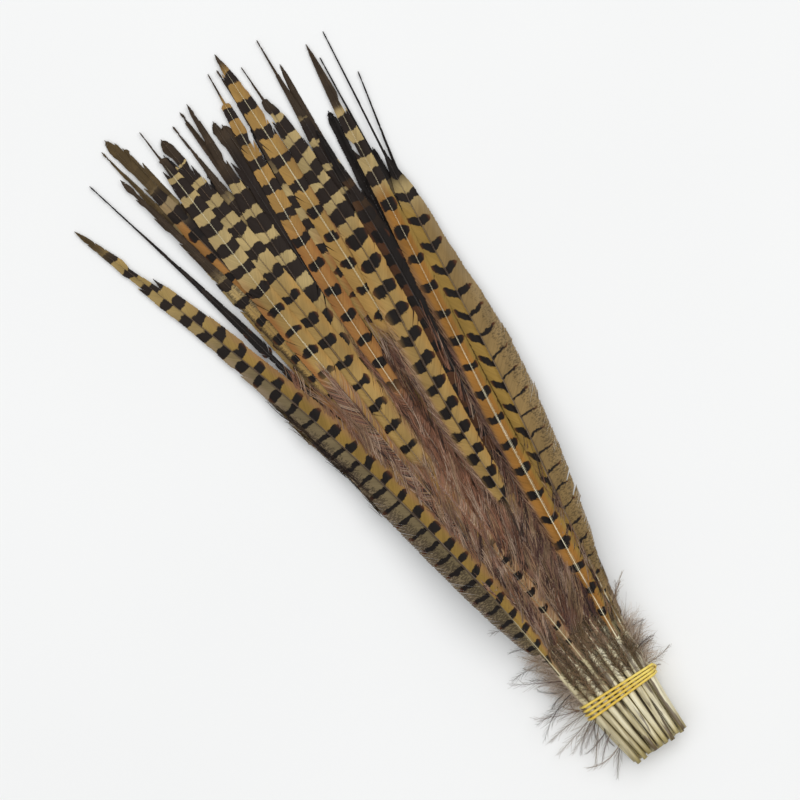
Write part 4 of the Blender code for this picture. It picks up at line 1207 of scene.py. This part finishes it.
# where fringe hairs start across the vane, and how they lean: at a distance, at the left and at the right
FRINGE_START = (0.62, 1.0)
FRINGE_LEAN = (60, 130, 175), ((-28, -14, 7), (36, 24, 11))
DOWN_TONES = (DOWN_BROWN, DOWN_BROWN, OLIVE_BROWN, DARK_HAIR, TAN_HAIR)
FLUFF_TONES = (DOWN_GREY, PALE_PINK, FLUFF, FLUFF)
# fluff and sprigs start this far out from the middle of the outer quills, and fluff ends at these distances
RIM_START = 0.8
FLUFF_TO = (58, 50)


def recipe(dice, count, tones, root, offset, heading, length, curl, thick, lift,
           sag=0, over=True, rise=(0, 0)):
    """Numbers for each hair: a pair is a range that the dice choose from, hair by hair. Headings and curls
    are in degrees from the tip's direction, plus to the right. Hairs lie over the bunch or hang free."""
    def drawn(low_high):
        return dice.uniform(*low_high, count) if isinstance(low_high, tuple) else low_high

    return dict(
        root=drawn(root), offset=drawn(offset), heading=drawn(heading), length=drawn(length),
        curl=drawn(curl), thick=drawn(thick), lift=drawn(lift), sag=np.full(count, sag),
        over=np.full(count, over), rise=drawn(rise), tone=hair_tones(tones, dice, count, CLUMP),
    )


def clumped(dice, count, low, high, size=CLUMP):
    """Random values that neighbours share, size of them together."""
    return np.repeat(dice.uniform(low, high, count // size + 1), size)[:count]


def fringe_hairs(feather, side, dice, zone):
    low, high, longest, density, *leaning = zone
    count = int((high - low) * density)
    sign = SIGNS[side]
    root = low + (high - low) * clumped(dice, count, 0, 1) + dice.normal(0, 1.0, count)
    across = clumped(dice, count, *FRINGE_START) + dice.normal(0, 0.05, count)
    offset = sign * feather.width(root, side) * across
    lean_places, leans = FRINGE_LEAN
    leaning = leaning[0] if leaning else np.interp(root, lean_places, leans[side])
    heading = leaning + clumped(dice, count, -9, 9) + dice.normal(0, 3, count)
    curl = -heading * clumped(dice, count, -0.1, 0.6) + dice.normal(0, 6, count)
    length = longest * clumped(dice, count, 0.6, 1.4) * dice.uniform(0.7, 1.1, count)
    lift = clumped(dice, count, 0.05, 0.8) + dice.uniform(0, 0.2, count)
    return recipe(dice, count, feather.look["hair"][side], root, offset, sign * heading, length=length,
                  curl=sign * curl, thick=(0.12, 0.28), lift=lift)


def base_hairs(feather, side, dice, count):
    root = clumped(dice, count, 56, 104) + dice.normal(0, 1.0, count)
    offset = SIGNS[side] * clumped(dice, count, 0.2, 4.0) + dice.normal(0, 0.25, count)
    heading = clumped(dice, count, 8, 44) + dice.normal(0, 3, count)
    lift = clumped(dice, count, 0.1, 1.1) + dice.uniform(0, 0.2, count)
    tones = PLUM_HAIRS if feather.place in PLUM_PLACES else MAUVE_HAIRS
    return recipe(dice, count, tones, root, offset, heading, length=(9, 19), curl=(-22, 10),
                  thick=(0.12, 0.3), lift=lift)


def quill_down(side, dice, count):
    offset = SIGNS[side] * dice.uniform(1.0, 2.2, count)
    root = clumped(dice, count, 31, 57, DOWN_CLUMP) + dice.normal(0, 1, count)
    return recipe(dice, count, DOWN_TONES, root, offset, heading=(-55, 55), length=(4, 11), curl=(-120, 120),
                  thick=(0.1, 0.2), lift=(0.1, 1.0))


def rim_fluff(side, dice, count):
    heading = SIGNS[side] * dice.uniform(0, 100, count)
    return recipe(dice, count, FLUFF_TONES, (31, FLUFF_TO[side]), SIGNS[side] * RIM_START, heading,
                  length=(4, 11), curl=(-90, 90), thick=(0.07, 0.12), lift=(0, 0), sag=0.5, over=False,
                  rise=(-0.1, 0.35))


print("kinds of hair: fringe, base, quill down, rim fluff")

# %% Laying the hairs
HAIR_STEPS = 7
SHORTEST_SHARE = 0.3
HAIR_WAVE = 5
# how ragged the edge of the hairs is where a vane shows, in mm
RAGGED = (-0.3, 1.3)
# hairs start this far below the top of the shaft and keep this far above the surface
HAIR_ROOT_DEPTH = 0.4
HAIR_FLOOR = 0.25
HAIR_GAP = 0.1
HAIR_THINNING = 0.75
HAIR_ROLL = 0.6
# how bright a hair is at its root and at its end
HAIR_SHADES = (0.75, 1.1)
HAIR_MAP = (0.06, 0.08)


def ways(steps):
    return np.linspace(0, 1, steps + 1)[None, :]


def hair_lines(feather, hair, length, waves):
    """x and y in mm of every point of every hair."""
    way = ways(HAIR_STEPS)
    start_x, start_y = feather.plan(hair["root"], hair["offset"])
    across_x, across_y = feather.direction(hair["root"])
    wave = HAIR_WAVE * np.sin(2 * np.pi * (way * (0.5 + waves[:, :1]) + waves[:, 1:]))
    angle = np.radians(hair["heading"][:, None] + hair["curl"][:, None] * way + wave)
    step_x = -np.cos(angle) * across_y[:, None] + np.sin(angle) * across_x[:, None]
    step_y = np.cos(angle) * across_x[:, None] + np.sin(angle) * across_y[:, None]
    step = length[:, None] / HAIR_STEPS
    x = start_x[:, None] + np.cumsum(step_x * step, axis=1) - step_x[:, :1] * step
    y = start_y[:, None] + np.cumsum(step_y * step, axis=1) - step_y[:, :1] * step
    return x, y


def free_share(feather, x, y, margins):
    """The share of each hair's length before it would cover a part of a vane that shows in the photo."""
    first_inside = np.full(len(x), HAIR_STEPS + 1)
    along = y - ZERO_Y
    for other in feathers:
        if not other.look["clear"]:
            continue
        within = np.clip(along, 0, other.tip)
        offset = (x - ZERO_X - other.middle(within)) * other.direction(within)[0]
        places, left, right = zip(*other.look["clear"])
        inside = offset > -np.interp(along, places, left) + margins
        inside &= offset < np.interp(along, places, right) - margins
        inside &= (along > places[0]) & (along < other.tip)
        if other is feather:
            inside[:, :2] = False
        first = np.where(inside.any(axis=1), inside.argmax(axis=1), HAIR_STEPS + 1)
        first_inside = np.minimum(first_inside, first)
    return np.minimum(np.maximum(first_inside - 1, 0) / HAIR_STEPS, 1.0)


def add_strands(parts, x, y, z, half, roll, colour, tone, v):
    """Strips with a colour for every point, or for every strip, and a tone for each strip."""
    count = len(x)
    tone = tone[:, None] + 0 * x
    grain = np.stack((tone, 0 * tone, tone), axis=-1)[:, :, None, :]
    u = (np.arange(count)[:, None] + np.array((0.0, 1.0))) / count
    facts = plain_facts(colour[:, :, None, :], grain)
    parts.add_grid(ribbons(x, y, z, half, roll), facts, corner_grid(u[:, None, :], v[:, :, None]), 0)


def add_hairs(parts, feather, side, dice, recipes):
    names = recipes[0].keys()
    hair = {}
    for name in names:
        shapes = [kind["sag"].shape + np.shape(kind[name])[1:] for kind in recipes]
        rows = [np.broadcast_to(kind[name], shape) for kind, shape in zip(recipes, shapes)]
        hair[name] = np.concatenate(rows)
    waves = dice.random((len(hair["root"]), 2))
    x, y = hair_lines(feather, hair, hair["length"], waves)
    free = free_share(feather, x, y, dice.uniform(*RAGGED, len(x))[:, None])
    free = np.where(hair["over"], free, 1.0)
    kept = free > SHORTEST_SHARE
    order = np.flatnonzero(kept)[np.argsort(hair["tone"][kept].sum(axis=1))]
    hair = {name: values[order] for name, values in hair.items()}
    x, y = hair_lines(feather, hair, hair["length"] * free[order], waves[order])
    column = {name: hair[name][:, None] for name in names if name != "tone"}
    count = len(order)
    way = ways(HAIR_STEPS)
    own = feather.ridge(hair["root"])[:, None] - HAIR_ROOT_DEPTH
    hanging = own * (1 - column["sag"] * way**2) + column["rise"] * column["length"] * way
    laid = surface(x, y) + HAIR_GAP + column["lift"] * (0.2 + 0.8 * np.sin(np.pi * way**0.8))
    laid = np.maximum(laid, own * (1 - 0.9 * way))
    z = np.maximum(np.where(column["over"], laid, hanging), HAIR_FLOOR)
    half = 0.5 * column["thick"] * (1 - HAIR_THINNING * way**1.5)
    roll = half * dice.uniform(-HAIR_ROLL, HAIR_ROLL, count)[:, None]
    colour = hair["tone"][:, None, :] * blended(*HAIR_SHADES, way)[:, :, None]
    v = 0.5 + SIGNS[side] * (HAIR_MAP[0] + HAIR_MAP[1] * way)
    add_strands(parts, x, y, z, half, roll, colour, dice.random(count), v)


print("a hair has", HAIR_STEPS, "steps")

# %% [markdown]
# ## Sprigs at the rim
#
# The lowest barbs of the outer feathers have come loose and stand out to the sides as small sprigs. Each is
# a curved stem with finer barbs on both sides, shorter towards its end. The stems come first, as lines of
# points, and the barbs then start from places along them.

# %% Stems with barbs
SPRIG_STEPS = 10
SPRIG_BARBS = 22
SPRIG_BARB_STEPS = 4
SPRIG_TONES = (PLUM, DARK_HAIR, DARK_HAIR, DOWN_BROWN)
PALE_BARBS = 0.35
# sprigs point down near the cut ends, then outwards, then upwards: distances, and degrees from the tips' way
SPRIG_HEADINGS = (8, 30, 48, 62), (140, 98, 55, 22)
SPRIG_SPREAD = 26
SPRIG_BEND = 45
SPRIG_RISE = (-0.15, 0.3)
SPRIG_FLOOR = 0.3
# half-width at the root, and how much of it is gone at the end
STEM_WIDTH = (0.16, 0.75)
SPRIG_BARB_WIDTH = (0.065, 0.6)
SPRIG_ROLL = 0.3
SPRIG_BARB_PLACES = (0.12, 0.96)
SPRIG_BARB_LEAN = (14, 38)
SPRIG_BARB_CURL = (-0.4, 1.2)
SPRIG_BARB_RISE = 0.12
# the length of a stem's last barb against the stem's, and what its first has more
SPRIG_BARB_LENGTH = (0.1, 0.28)
SPRIG_BARB_UNEVEN = (0.6, 1.2)
# where the rows for stems and for their barbs are on the map, how tall they are, and how far the right's lie
STEM_MAP = 0.02
SPRIG_BARB_MAP = 0.03
SPRIG_MAP_HEIGHT = 0.009
SPRIG_MAP_RIGHT = 0.48


def swept(start, angle, turn, length, steps):
    """x and y of lines that start at an angle from the x axis and turn evenly, in radians."""
    angles = angle[:, None] + turn[:, None] * ways(steps)
    step = length[:, None] / steps
    x = start[0][:, None] + np.cumsum(np.cos(angles) * step, axis=1) - np.cos(angles[:, :1]) * step
    y = start[1][:, None] + np.cumsum(np.sin(angles) * step, axis=1) - np.sin(angles[:, :1]) * step
    return x, y, angles


def add_sprig_strips(parts, x, y, z, width_thinning, way, colour, first_v):
    width, thinning = width_thinning
    half = width * (1 - thinning * way) * np.ones_like(x)
    v = first_v + SPRIG_MAP_HEIGHT * way
    add_strands(parts, x, y, z, half, SPRIG_ROLL * half, colour[:, None, :], np.linspace(0, 1, len(x)), v)


def add_sprigs(parts, feather, side, dice, count, roots, lengths):
    sign = SIGNS[side]
    along = dice.uniform(*roots, count)
    start = feather.plan(along, sign * RIM_START * np.ones(count))
    heading = np.interp(along, *SPRIG_HEADINGS) + dice.uniform(-SPRIG_SPREAD, SPRIG_SPREAD, count)
    angle = np.pi / 2 - sign * np.radians(heading)
    length = dice.uniform(*lengths, count)
    x, y, angles = swept(start, angle, np.radians(dice.normal(0, SPRIG_BEND, count)), length, SPRIG_STEPS)
    way = ways(SPRIG_STEPS)
    root_z = feather.ridge(along)[:, None] - HAIR_ROOT_DEPTH
    z = root_z + (dice.uniform(*SPRIG_RISE, count) * length)[:, None] * way - 0.5 * root_z * way**2
    z = np.maximum(z, SPRIG_FLOOR)
    tone = hair_tones(SPRIG_TONES, dice, count)
    add_sprig_strips(parts, x, y, z, STEM_WIDTH, way, tone, STEM_MAP + SPRIG_MAP_RIGHT * side)
    place = np.tile(np.linspace(*SPRIG_BARB_PLACES, SPRIG_BARBS), count)
    stem = np.repeat(np.arange(count), SPRIG_BARBS)
    at = place * SPRIG_STEPS
    low = np.minimum(at.astype(int), SPRIG_STEPS - 1)
    share = at - low
    at_x, at_y, at_z, at_angle = (
        line[stem, low] * (1 - share) + line[stem, low + 1] * share for line in (x, y, z, angles)
    )
    to_side = np.where(np.arange(len(stem)) % 2 == 0, 1, -1)
    lean = to_side * np.radians(dice.uniform(*SPRIG_BARB_LEAN, len(stem)))
    shortening = SPRIG_BARB_LENGTH[0] + SPRIG_BARB_LENGTH[1] * (1 - place)
    length = length[stem] * shortening * dice.uniform(*SPRIG_BARB_UNEVEN, len(stem))
    turn = -lean * dice.uniform(*SPRIG_BARB_CURL, len(stem))
    x, y, _ = swept((at_x, at_y), at_angle + lean, turn, length, SPRIG_BARB_STEPS)
    way = ways(SPRIG_BARB_STEPS)
    rise = dice.normal(0, SPRIG_BARB_RISE, len(stem)) * length
    z = np.maximum(at_z[:, None] + rise[:, None] * way, HAIR_FLOOR)
    tone = blended(tone[stem], DOWN_GREY, PALE_BARBS * dice.random(len(stem)))
    add_sprig_strips(parts, x, y, z, SPRIG_BARB_WIDTH, way, tone, SPRIG_BARB_MAP + SPRIG_MAP_RIGHT * side)


print("strips in a sprig:", 1 + SPRIG_BARBS)

# %% [markdown]
# ## The finish of the barbs
#
# One material serves all the feathers, since every point carries its own colours. The nodes turn the count
# of bars into dark bands with uneven edges, add fine speckles where a vane is mottled, and give each barb
# its own tone. The barbs are dull, so the roughness is medium and they mirror little.

# %% Node helpers
def node(tree, kind, **settings):
    made = tree.nodes.new(kind)
    for name, value in settings.items():
        setattr(made, name, value)
    return made


def fill_sockets(tree, sockets, values):
    """Set each socket to its number or colour, or link it to its output."""
    for socket, value in zip(sockets, values):
        if isinstance(value, (int, float, tuple)):
            socket.default_value = value
        else:
            tree.links.new(value, socket)


def math_node(tree, operation, first, second):
    made = node(tree, "ShaderNodeMath", operation=operation)
    fill_sockets(tree, made.inputs, (first, second))
    return made.outputs[0]


def mixed_colours(tree, share, first, second, blend="MIX"):
    made = node(tree, "ShaderNodeMix", data_type="RGBA", blend_type=blend)
    fill_sockets(tree, (made.inputs[0], made.inputs[6], made.inputs[7]), (share, first, second))
    return made.outputs[2]


def ranged(tree, value, low, high, to_low, to_high, kind="SMOOTHSTEP"):
    made = node(tree, "ShaderNodeMapRange", interpolation_type=kind)
    fill_sockets(tree, made.inputs, (value, low, high, to_low, to_high))
    return made.outputs[0]


def noise(tree, where, scale, detail=2.0, roughness=0.5, stretch=(1, 1, 1)):
    squeezed = node(tree, "ShaderNodeMapping")
    squeezed.inputs["Scale"].default_value = stretch
    tree.links.new(where, squeezed.inputs["Vector"])
    made = node(tree, "ShaderNodeTexNoise")
    made.inputs["Scale"].default_value = scale
    made.inputs["Detail"].default_value = detail
    made.inputs["Roughness"].default_value = roughness
    tree.links.new(squeezed.outputs[0], made.inputs["Vector"])
    return made.outputs["Fac"]


def new_finish(name):
    finish = bpy.data.materials.new(name)
    finish.use_nodes = True
    return finish, finish.node_tree, finish.node_tree.nodes["Principled BSDF"]


def opaque(colour):
    return (*(float(part) for part in colour), 1.0)


print("node helpers ready")

# %% The barbs' material
def split_fact(tree, name):
    """The three numbers of a fact."""
    fact = node(tree, "ShaderNodeAttribute", attribute_name=name)
    parts = node(tree, "ShaderNodeSeparateXYZ")
    tree.links.new(fact.outputs["Vector"], parts.inputs[0])
    return parts.outputs


def colour_fact(tree, name):
    return node(tree, "ShaderNodeAttribute", attribute_name=name).outputs["Color"]


def barb_finish():
    finish, tree, shader = new_finish("feather_barbs")
    bar_number, bar_size, bar_strength = split_fact(tree, "bars")
    _, mottled, tone = split_fact(tree, "grain")
    place = node(tree, "ShaderNodeTexCoord").outputs["Object"]
    wobble = ranged(tree, noise(tree, place, 260, 3), 0.25, 0.75, -0.11, 0.11, "LINEAR")
    jag = ranged(tree, tone, 0.0, 1.0, -0.02, 0.02, "LINEAR")
    count = math_node(tree, "ADD", bar_number, math_node(tree, "ADD", wobble, jag))
    from_bar = math_node(tree, "PINGPONG", count, 0.5)
    past_edge = math_node(tree, "SUBTRACT", from_bar, bar_size)
    dark = ranged(tree, past_edge, -0.02, 0.025, 1.0, 0.0)
    dark = math_node(tree, "MULTIPLY", dark, bar_strength)
    lines = noise(tree, place, 1500, 2, 0.6, (0.6, 1.3, 0.2))
    denser = math_node(tree, "ADD", lines, math_node(tree, "MULTIPLY", mottled, 0.16))
    speckle = ranged(tree, denser, 0.58, 0.64, 0.0, 1.0)
    speckle = math_node(tree, "MULTIPLY", speckle, ranged(tree, mottled, 0.0, 0.3, 0.0, 1.0))
    cloud = ranged(tree, noise(tree, place, 70, 2), 0.3, 0.7, 0.86, 1.14, "LINEAR")
    own = ranged(tree, tone, 0.0, 1.0, 0.82, 1.16, "LINEAR")
    brightness = math_node(tree, "MULTIPLY", cloud, own)
    shade = node(tree, "ShaderNodeCombineColor")
    for socket in shade.inputs[:3]:
        tree.links.new(brightness, socket)
    ground = mixed_colours(tree, 1.0, colour_fact(tree, "ground"), shade.outputs[0], "MULTIPLY")
    speckle = math_node(tree, "MULTIPLY", speckle, ranged(tree, mottled, 0.3, 1.0, 0.5, 0.62, "LINEAR"))
    ground = mixed_colours(tree, speckle, ground, opaque(DARK_BROWN))
    colour = mixed_colours(tree, dark, ground, colour_fact(tree, "ink"))
    tree.links.new(colour, shader.inputs["Base Color"])
    shader.inputs["Roughness"].default_value = 0.55
    shader.inputs["Specular IOR Level"].default_value = 0.12
    return finish


barbs_material = barb_finish()
print("nodes in the barbs' material:", len(barbs_material.node_tree.nodes))

# %% [markdown]
# ## The finish of shafts and quills
#
# A quill is horn: smooth and slightly glossy, with faint streaks along it and dark scraps of the sheath it
# grew in, and lighter streaks of painted highlight. All come from noises that are stretched along the
# feathers. Streaks could be modelled as grooves, but they are finer than anything the mesh holds.

# %% The shafts' material
def shaft_finish():
    finish, tree, shader = new_finish("feather_shafts")
    ground = colour_fact(tree, "ground")
    stain = split_fact(tree, "grain")[1]
    place = node(tree, "ShaderNodeTexCoord").outputs["Object"]
    streaks = ranged(tree, noise(tree, place, 900, 3, 0.6, (1, 0.05, 1)), 0.4, 0.68, 0.0, 1.0)
    # painted highlight: fine lines along the quill are screened lighter
    painted_highlights = ranged(tree, noise(tree, place, 600, 2, 0.5, (1, 0.04, 1)), 0.5, 0.66, 0.0, 0.6)
    scraps = noise(tree, place, 420, 3, 0.6, (1, 0.09, 1))
    scraps = math_node(tree, "ADD", scraps, math_node(tree, "MULTIPLY", stain, 0.16))
    scraps = ranged(tree, scraps, 0.6, 0.68, 0.0, 1.0)
    scraps = math_node(tree, "MULTIPLY", scraps, ranged(tree, stain, 0.0, 0.3, 0.0, 0.85))
    colour = mixed_colours(tree, math_node(tree, "MULTIPLY", streaks, 0.28), ground, opaque(OLIVE_BROWN))
    colour = mixed_colours(tree, painted_highlights, colour, ground, "SCREEN")
    colour = mixed_colours(tree, scraps, colour, opaque(STAIN))
    tree.links.new(colour, shader.inputs["Base Color"])
    tree.links.new(ranged(tree, streaks, 0.0, 1.0, 0.28, 0.5, "LINEAR"), shader.inputs["Roughness"])
    return finish


shafts_material = shaft_finish()
print("nodes in the shafts' material:", len(shafts_material.node_tree.nodes))

# %% [markdown]
# ## Growing all the feathers
#
# Feathers that the others hide get coarser barbs, which nobody can tell from fine ones there. Each feather
# rolls its own dice from a fixed seed, so the bunch comes out the same every time.

# %% Make every feather and put it in its solid's place
BOTTOM, LOWER, UPPER, TOP = range(4)
# how much wider apart, and wider, the barbs of each layer are than the top one's
COARSENESS = {BOTTOM: 2.6, LOWER: 1.7, UPPER: 1.15, TOP: 1.0}
HIDDEN_COARSENESS = 2.6
FIRST_SEED = 100
BASE_HAIRS = 150
QUILL_DOWN = 80
RIM_FLUFF = (240, 120)
# how many sprigs an outer feather has at its left or right, where and how long
SPRIGS = (
    (7, (10, 62), (9, 23)),
    (3, (26, 62), (6, 14)),
)


def hairs_for(feather, side, dice, on_rim):
    zones = [feather.look[kind][side] for kind in ("fringe", "edge_hairs")]
    recipes = [fringe_hairs(feather, side, dice, zone) for zone in zones if zone]
    if feather.layer == TOP:
        recipes.append(base_hairs(feather, side, dice, BASE_HAIRS))
        recipes.append(quill_down(side, dice, QUILL_DOWN))
    if on_rim:
        recipes.append(rim_fluff(side, dice, RIM_FLUFF[side]))
    return recipes


def grow(feather, number):
    dice = np.random.default_rng(FIRST_SEED + number)
    coarse = COARSENESS[feather.layer] if feather.name in LOOKS else HIDDEN_COARSENESS
    parts = MeshParts()
    add_shaft(parts, feather, dice)
    for side in (0, 1):
        add_vane(parts, feather, side, dice, coarse)
        on_rim = feather.place == (0, feather.last_place)[side]
        recipes = hairs_for(feather, side, dice, on_rim)
        if recipes:
            add_hairs(parts, feather, side, dice, recipes)
        if on_rim:
            add_sprigs(parts, feather, side, dice, *SPRIGS[side])
    made = parts.build(feather.name + "_barbs", (barbs_material, shafts_material))
    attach(made, "root")
    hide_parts(feather.name)
    return 2 * sum(len(faces) for faces in parts.faces)


triangles = [grow(feather, number) for number, feather in enumerate(feathers)]
print("triangles in all feathers:", sum(triangles), "most in one:", max(triangles))

# %% [markdown]
# ## The rubber band
#
# The band is one strand wound four times round the quills. It runs straight from the top of one quill to
# the next and bends round the outer ones, which is the way round a set of circles: in every direction it
# touches the quill that lies farthest out. The turns lie side by side, and at the right the last crosses
# the others to close the loop.

# %% The strand
# where each turn lies at the left and at the right
BAND_LEFT_Y = 24.5, 26.4, 28.3, 30.2
BAND_RIGHT_Y = 25.6, 26.8, 28.0, 29.2
BAND_TURNS = len(BAND_LEFT_Y)
BAND_GAP = 0.25
# the way round is walked in these steps, from the left over the top to the right and back underneath, and of
# those round one quill only every twelfth is kept
ROUND_STEPS = 720
BAND_ARC = 12
# where the last turn climbs over the others, in the same steps, what it leaves between, and how far below the
# highest quill it starts to cross them
CROSSING_CLIMB = 280, 320
CROSSING_GAP = 0.15
CROSSING_DEPTH = 1.0
# a cut strand is flat, with rounded corners
STRAND_SIDES = 12
STRAND_WIDE = 1.15
STRAND_THICK = 0.9
STRAND_CORNER = 0.7
BAND_YELLOW = seen(222, 184, 56)
BAND_PALE = seen(240, 216, 104)
BAND_DUST = seen(196, 158, 62)


def band_loop():
    quills = np.array([(feather.middle(TIE_Y), feather.ridge(TIE_Y) - QUILL_RADIUS) for feather in feathers])
    highest = quills[:, 1].max() - CROSSING_DEPTH
    lowest = quills[:, 1].min()
    grown = QUILL_RADIUS + BAND_GAP + STRAND_RADIUS
    left = quills[:, 0].min() - grown
    right = quills[:, 0].max() + grown
    steps = np.arange(ROUND_STEPS)
    turned = np.radians(360 / ROUND_STEPS * steps)
    outward = np.column_stack((-np.cos(turned), np.sin(turned)))
    touched = np.argmax(outward @ quills.T, axis=1)
    kept = (touched != np.roll(touched, 1)) | (touched != np.roll(touched, -1)) | (steps % BAND_ARC == 0)
    past_first = 2 * BAND_RIGHT_Y[0] - BAND_RIGHT_Y[1]
    points = []
    for turn in range(BAND_TURNS):
        last = turn == BAND_TURNS - 1
        for step in steps[kept]:
            from_left = min(step, ROUND_STEPS - step)
            crossing = float(np.interp(from_left, CROSSING_CLIMB, (0.0, 1.0))) if last else 0.0
            reach = grown + crossing * (2 * STRAND_RADIUS + CROSSING_GAP)
            x, z = quills[touched[step]] + reach * outward[step]
            share = min(max((x - left) / (right - left), 0.0), 1.0)
            left_y = BAND_LEFT_Y[turn if step <= ROUND_STEPS / 2 else (turn + 1) % BAND_TURNS]
            right_y = BAND_RIGHT_Y[turn]
            if last and step > ROUND_STEPS / 4:
                right_y += (past_first - right_y) * min(max((highest - z) / (highest - lowest), 0.0), 1.0)
            points.append((x + ZERO_X, left_y + (right_y - left_y) * share + ZERO_Y, z))
    return np.array(points)


def rubber_finish():
    finish, tree, shader = new_finish("yellow_rubber")
    place = node(tree, "ShaderNodeTexCoord").outputs["Object"]
    dust = ranged(tree, noise(tree, place, 700, 4, 0.6), 0.4, 0.75, 0.0, 1.0)
    tone = ranged(tree, noise(tree, place, 60, 2), 0.3, 0.7, 0.0, 1.0)
    colour = mixed_colours(tree, tone, opaque(BAND_YELLOW), opaque(BAND_PALE))
    colour = mixed_colours(tree, math_node(tree, "MULTIPLY", dust, 0.35), colour, opaque(BAND_DUST))
    tree.links.new(colour, shader.inputs["Base Color"])
    tree.links.new(ranged(tree, dust, 0.0, 1.0, 0.35, 0.6, "LINEAR"), shader.inputs["Roughness"])
    return finish


def unit_rows(vectors):
    return vectors / np.linalg.norm(vectors, axis=1)[:, None]


def make_band():
    loop = band_loop()
    ahead = unit_rows(np.roll(loop, -1, axis=0) - np.roll(loop, 1, axis=0))
    side = unit_rows(np.cross(ahead, (0.0, 1.0, 0.0)))
    along = np.cross(side, ahead)
    turn = 2 * np.pi * (np.arange(STRAND_SIDES) + 0.5) / STRAND_SIDES
    wide, thick = (np.sign(part) * np.abs(part) ** STRAND_CORNER for part in (np.cos(turn), np.sin(turn)))
    wide = STRAND_WIDE * wide[None, :, None] * along[:, None, :]
    thick = STRAND_THICK * thick[None, :, None] * side[:, None, :]
    tube = loop[:, None, :] + STRAND_RADIUS * (wide + thick)
    tube = np.concatenate((tube, tube[:1]))[None]
    u = np.linspace(0.01, 0.99, tube.shape[1])
    v = 0.02 + 0.96 * np.arange(STRAND_SIDES + 1) / STRAND_SIDES
    parts = MeshParts()
    facts = plain_facts(np.ones(3), np.zeros(3))
    parts.add_grid(tube, facts, corner_grid(u[:, None], v[None, :])[None], 0, closed=True)
    made = parts.build("rubber_band_strand", (rubber_finish(),))
    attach(made, "root")
    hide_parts("rubber_band")
    return len(loop)


print("places along the strand:", make_band())

# %% [markdown]
# ## Floor, light and camera
#
# The bunch was photographed from straight above on a white table, turned so that the tips point to the
# upper left. A long lens from far away keeps the fan free of perspective. The light is broad and soft, a
# little stronger from the upper right of the picture, so the shadows are faint and fall to the lower left.

# %% A pale floor
FLOOR_SIDE = 6.0
TABLE_WHITES = seen(243, 244, 245), seen(245, 246, 247)


def floor_finish():
    finish, tree, shader = new_finish("white_table")
    place = node(tree, "ShaderNodeTexCoord").outputs["Object"]
    tone = ranged(tree, noise(tree, place, 4, 2), 0.3, 0.7, 0.0, 1.0)
    colour = mixed_colours(tree, tone, *(opaque(white) for white in TABLE_WHITES))
    tree.links.new(colour, shader.inputs["Base Color"])
    shader.inputs["Roughness"].default_value = 0.8
    shader.inputs["Specular IOR Level"].default_value = 0.2
    return finish


far = FLOOR_SIDE / 2
floor_mesh = bpy.data.meshes.new("floor")
floor_mesh.from_pydata([(-far, -far, 0), (far, -far, 0), (far, far, 0), (-far, far, 0)], [], [(0, 1, 2, 3)])
floor_mesh.materials.append(floor_finish())
floor = bpy.data.objects.new("floor", floor_mesh)
bpy.context.scene.collection.objects.link(floor)
print("floor side", FLOOR_SIDE, "m")

# %% The camera
# how far the bunch is turned in the photograph, in degrees, how wide a part of the floor it shows, in metres,
# and the middle of the picture, in the millimetres of the layers
PHOTO_TURN = 34.0
PHOTO_WIDTH = 0.320
PHOTO_CENTRE = (-9.3, 172.2)
LENS = 250.0
SENSOR = 36.0
VIEW_DEPTH = 20
camera_data = bpy.data.cameras.new("camera")
camera_data.lens = LENS
camera_data.sensor_width = SENSOR
camera_data.clip_end = VIEW_DEPTH
camera = bpy.data.objects.new("camera", camera_data)
bpy.context.scene.collection.objects.link(camera)
centre_x = (PHOTO_CENTRE[0] + ZERO_X) * MM
centre_y = (PHOTO_CENTRE[1] + ZERO_Y) * MM
camera.location = (centre_x, centre_y, PHOTO_WIDTH * LENS / SENSOR)
camera.rotation_euler = (0, 0, -math.radians(PHOTO_TURN))
bpy.context.scene.camera = camera
print(f"camera {camera.location.z:.2f} m above the table")

# %% The light
# each light's place in metres, its size, its power in watts and its colour
LIGHTS = {
    "key": ((1.1, 0.45, 3.0), 3.6, 60, (1.0, 0.99, 0.97)),
    "fill": ((-1.0, 0.2, 3.2), 3.6, 39, (0.985, 0.99, 0.99)),
}
ROOM_COLOUR = (0.985, 0.99, 0.985, 1.0)
ROOM_STRENGTH = 0.35


def area_light(name, place, size, power, colour):
    """A round light that faces the middle of the table."""
    data = bpy.data.lights.new(name, "AREA")
    data.shape = "DISK"
    data.size = size
    data.energy = power
    data.color = colour
    made = bpy.data.objects.new(name, data)
    made.location = place
    tilt = math.acos(place[2] / math.hypot(*place))
    made.rotation_euler = (0, tilt, math.atan2(place[1], place[0]))
    bpy.context.scene.collection.objects.link(made)


for name, settings in LIGHTS.items():
    area_light(name, *settings)
world = bpy.data.worlds.new("studio")
bpy.context.scene.world = world
world.use_nodes = True
background = world.node_tree.nodes["Background"]
background.inputs["Color"].default_value = ROOM_COLOUR
background.inputs["Strength"].default_value = ROOM_STRENGTH
bpy.context.scene.view_settings.view_transform = "Standard"
bpy.context.scene.view_settings.look = "None"
print("lights:", ", ".join(LIGHTS))

# %% [markdown]
# ## Sizes at the end
#
# The solids' box is printed at the end. The dressed bunch has to stay within its
# solids' box, but for loose hairs.

# %% Print the solids' box and finish
print("solids:", [round(value, 4) for value in cad_low], [round(value, 4) for value in cad_high])
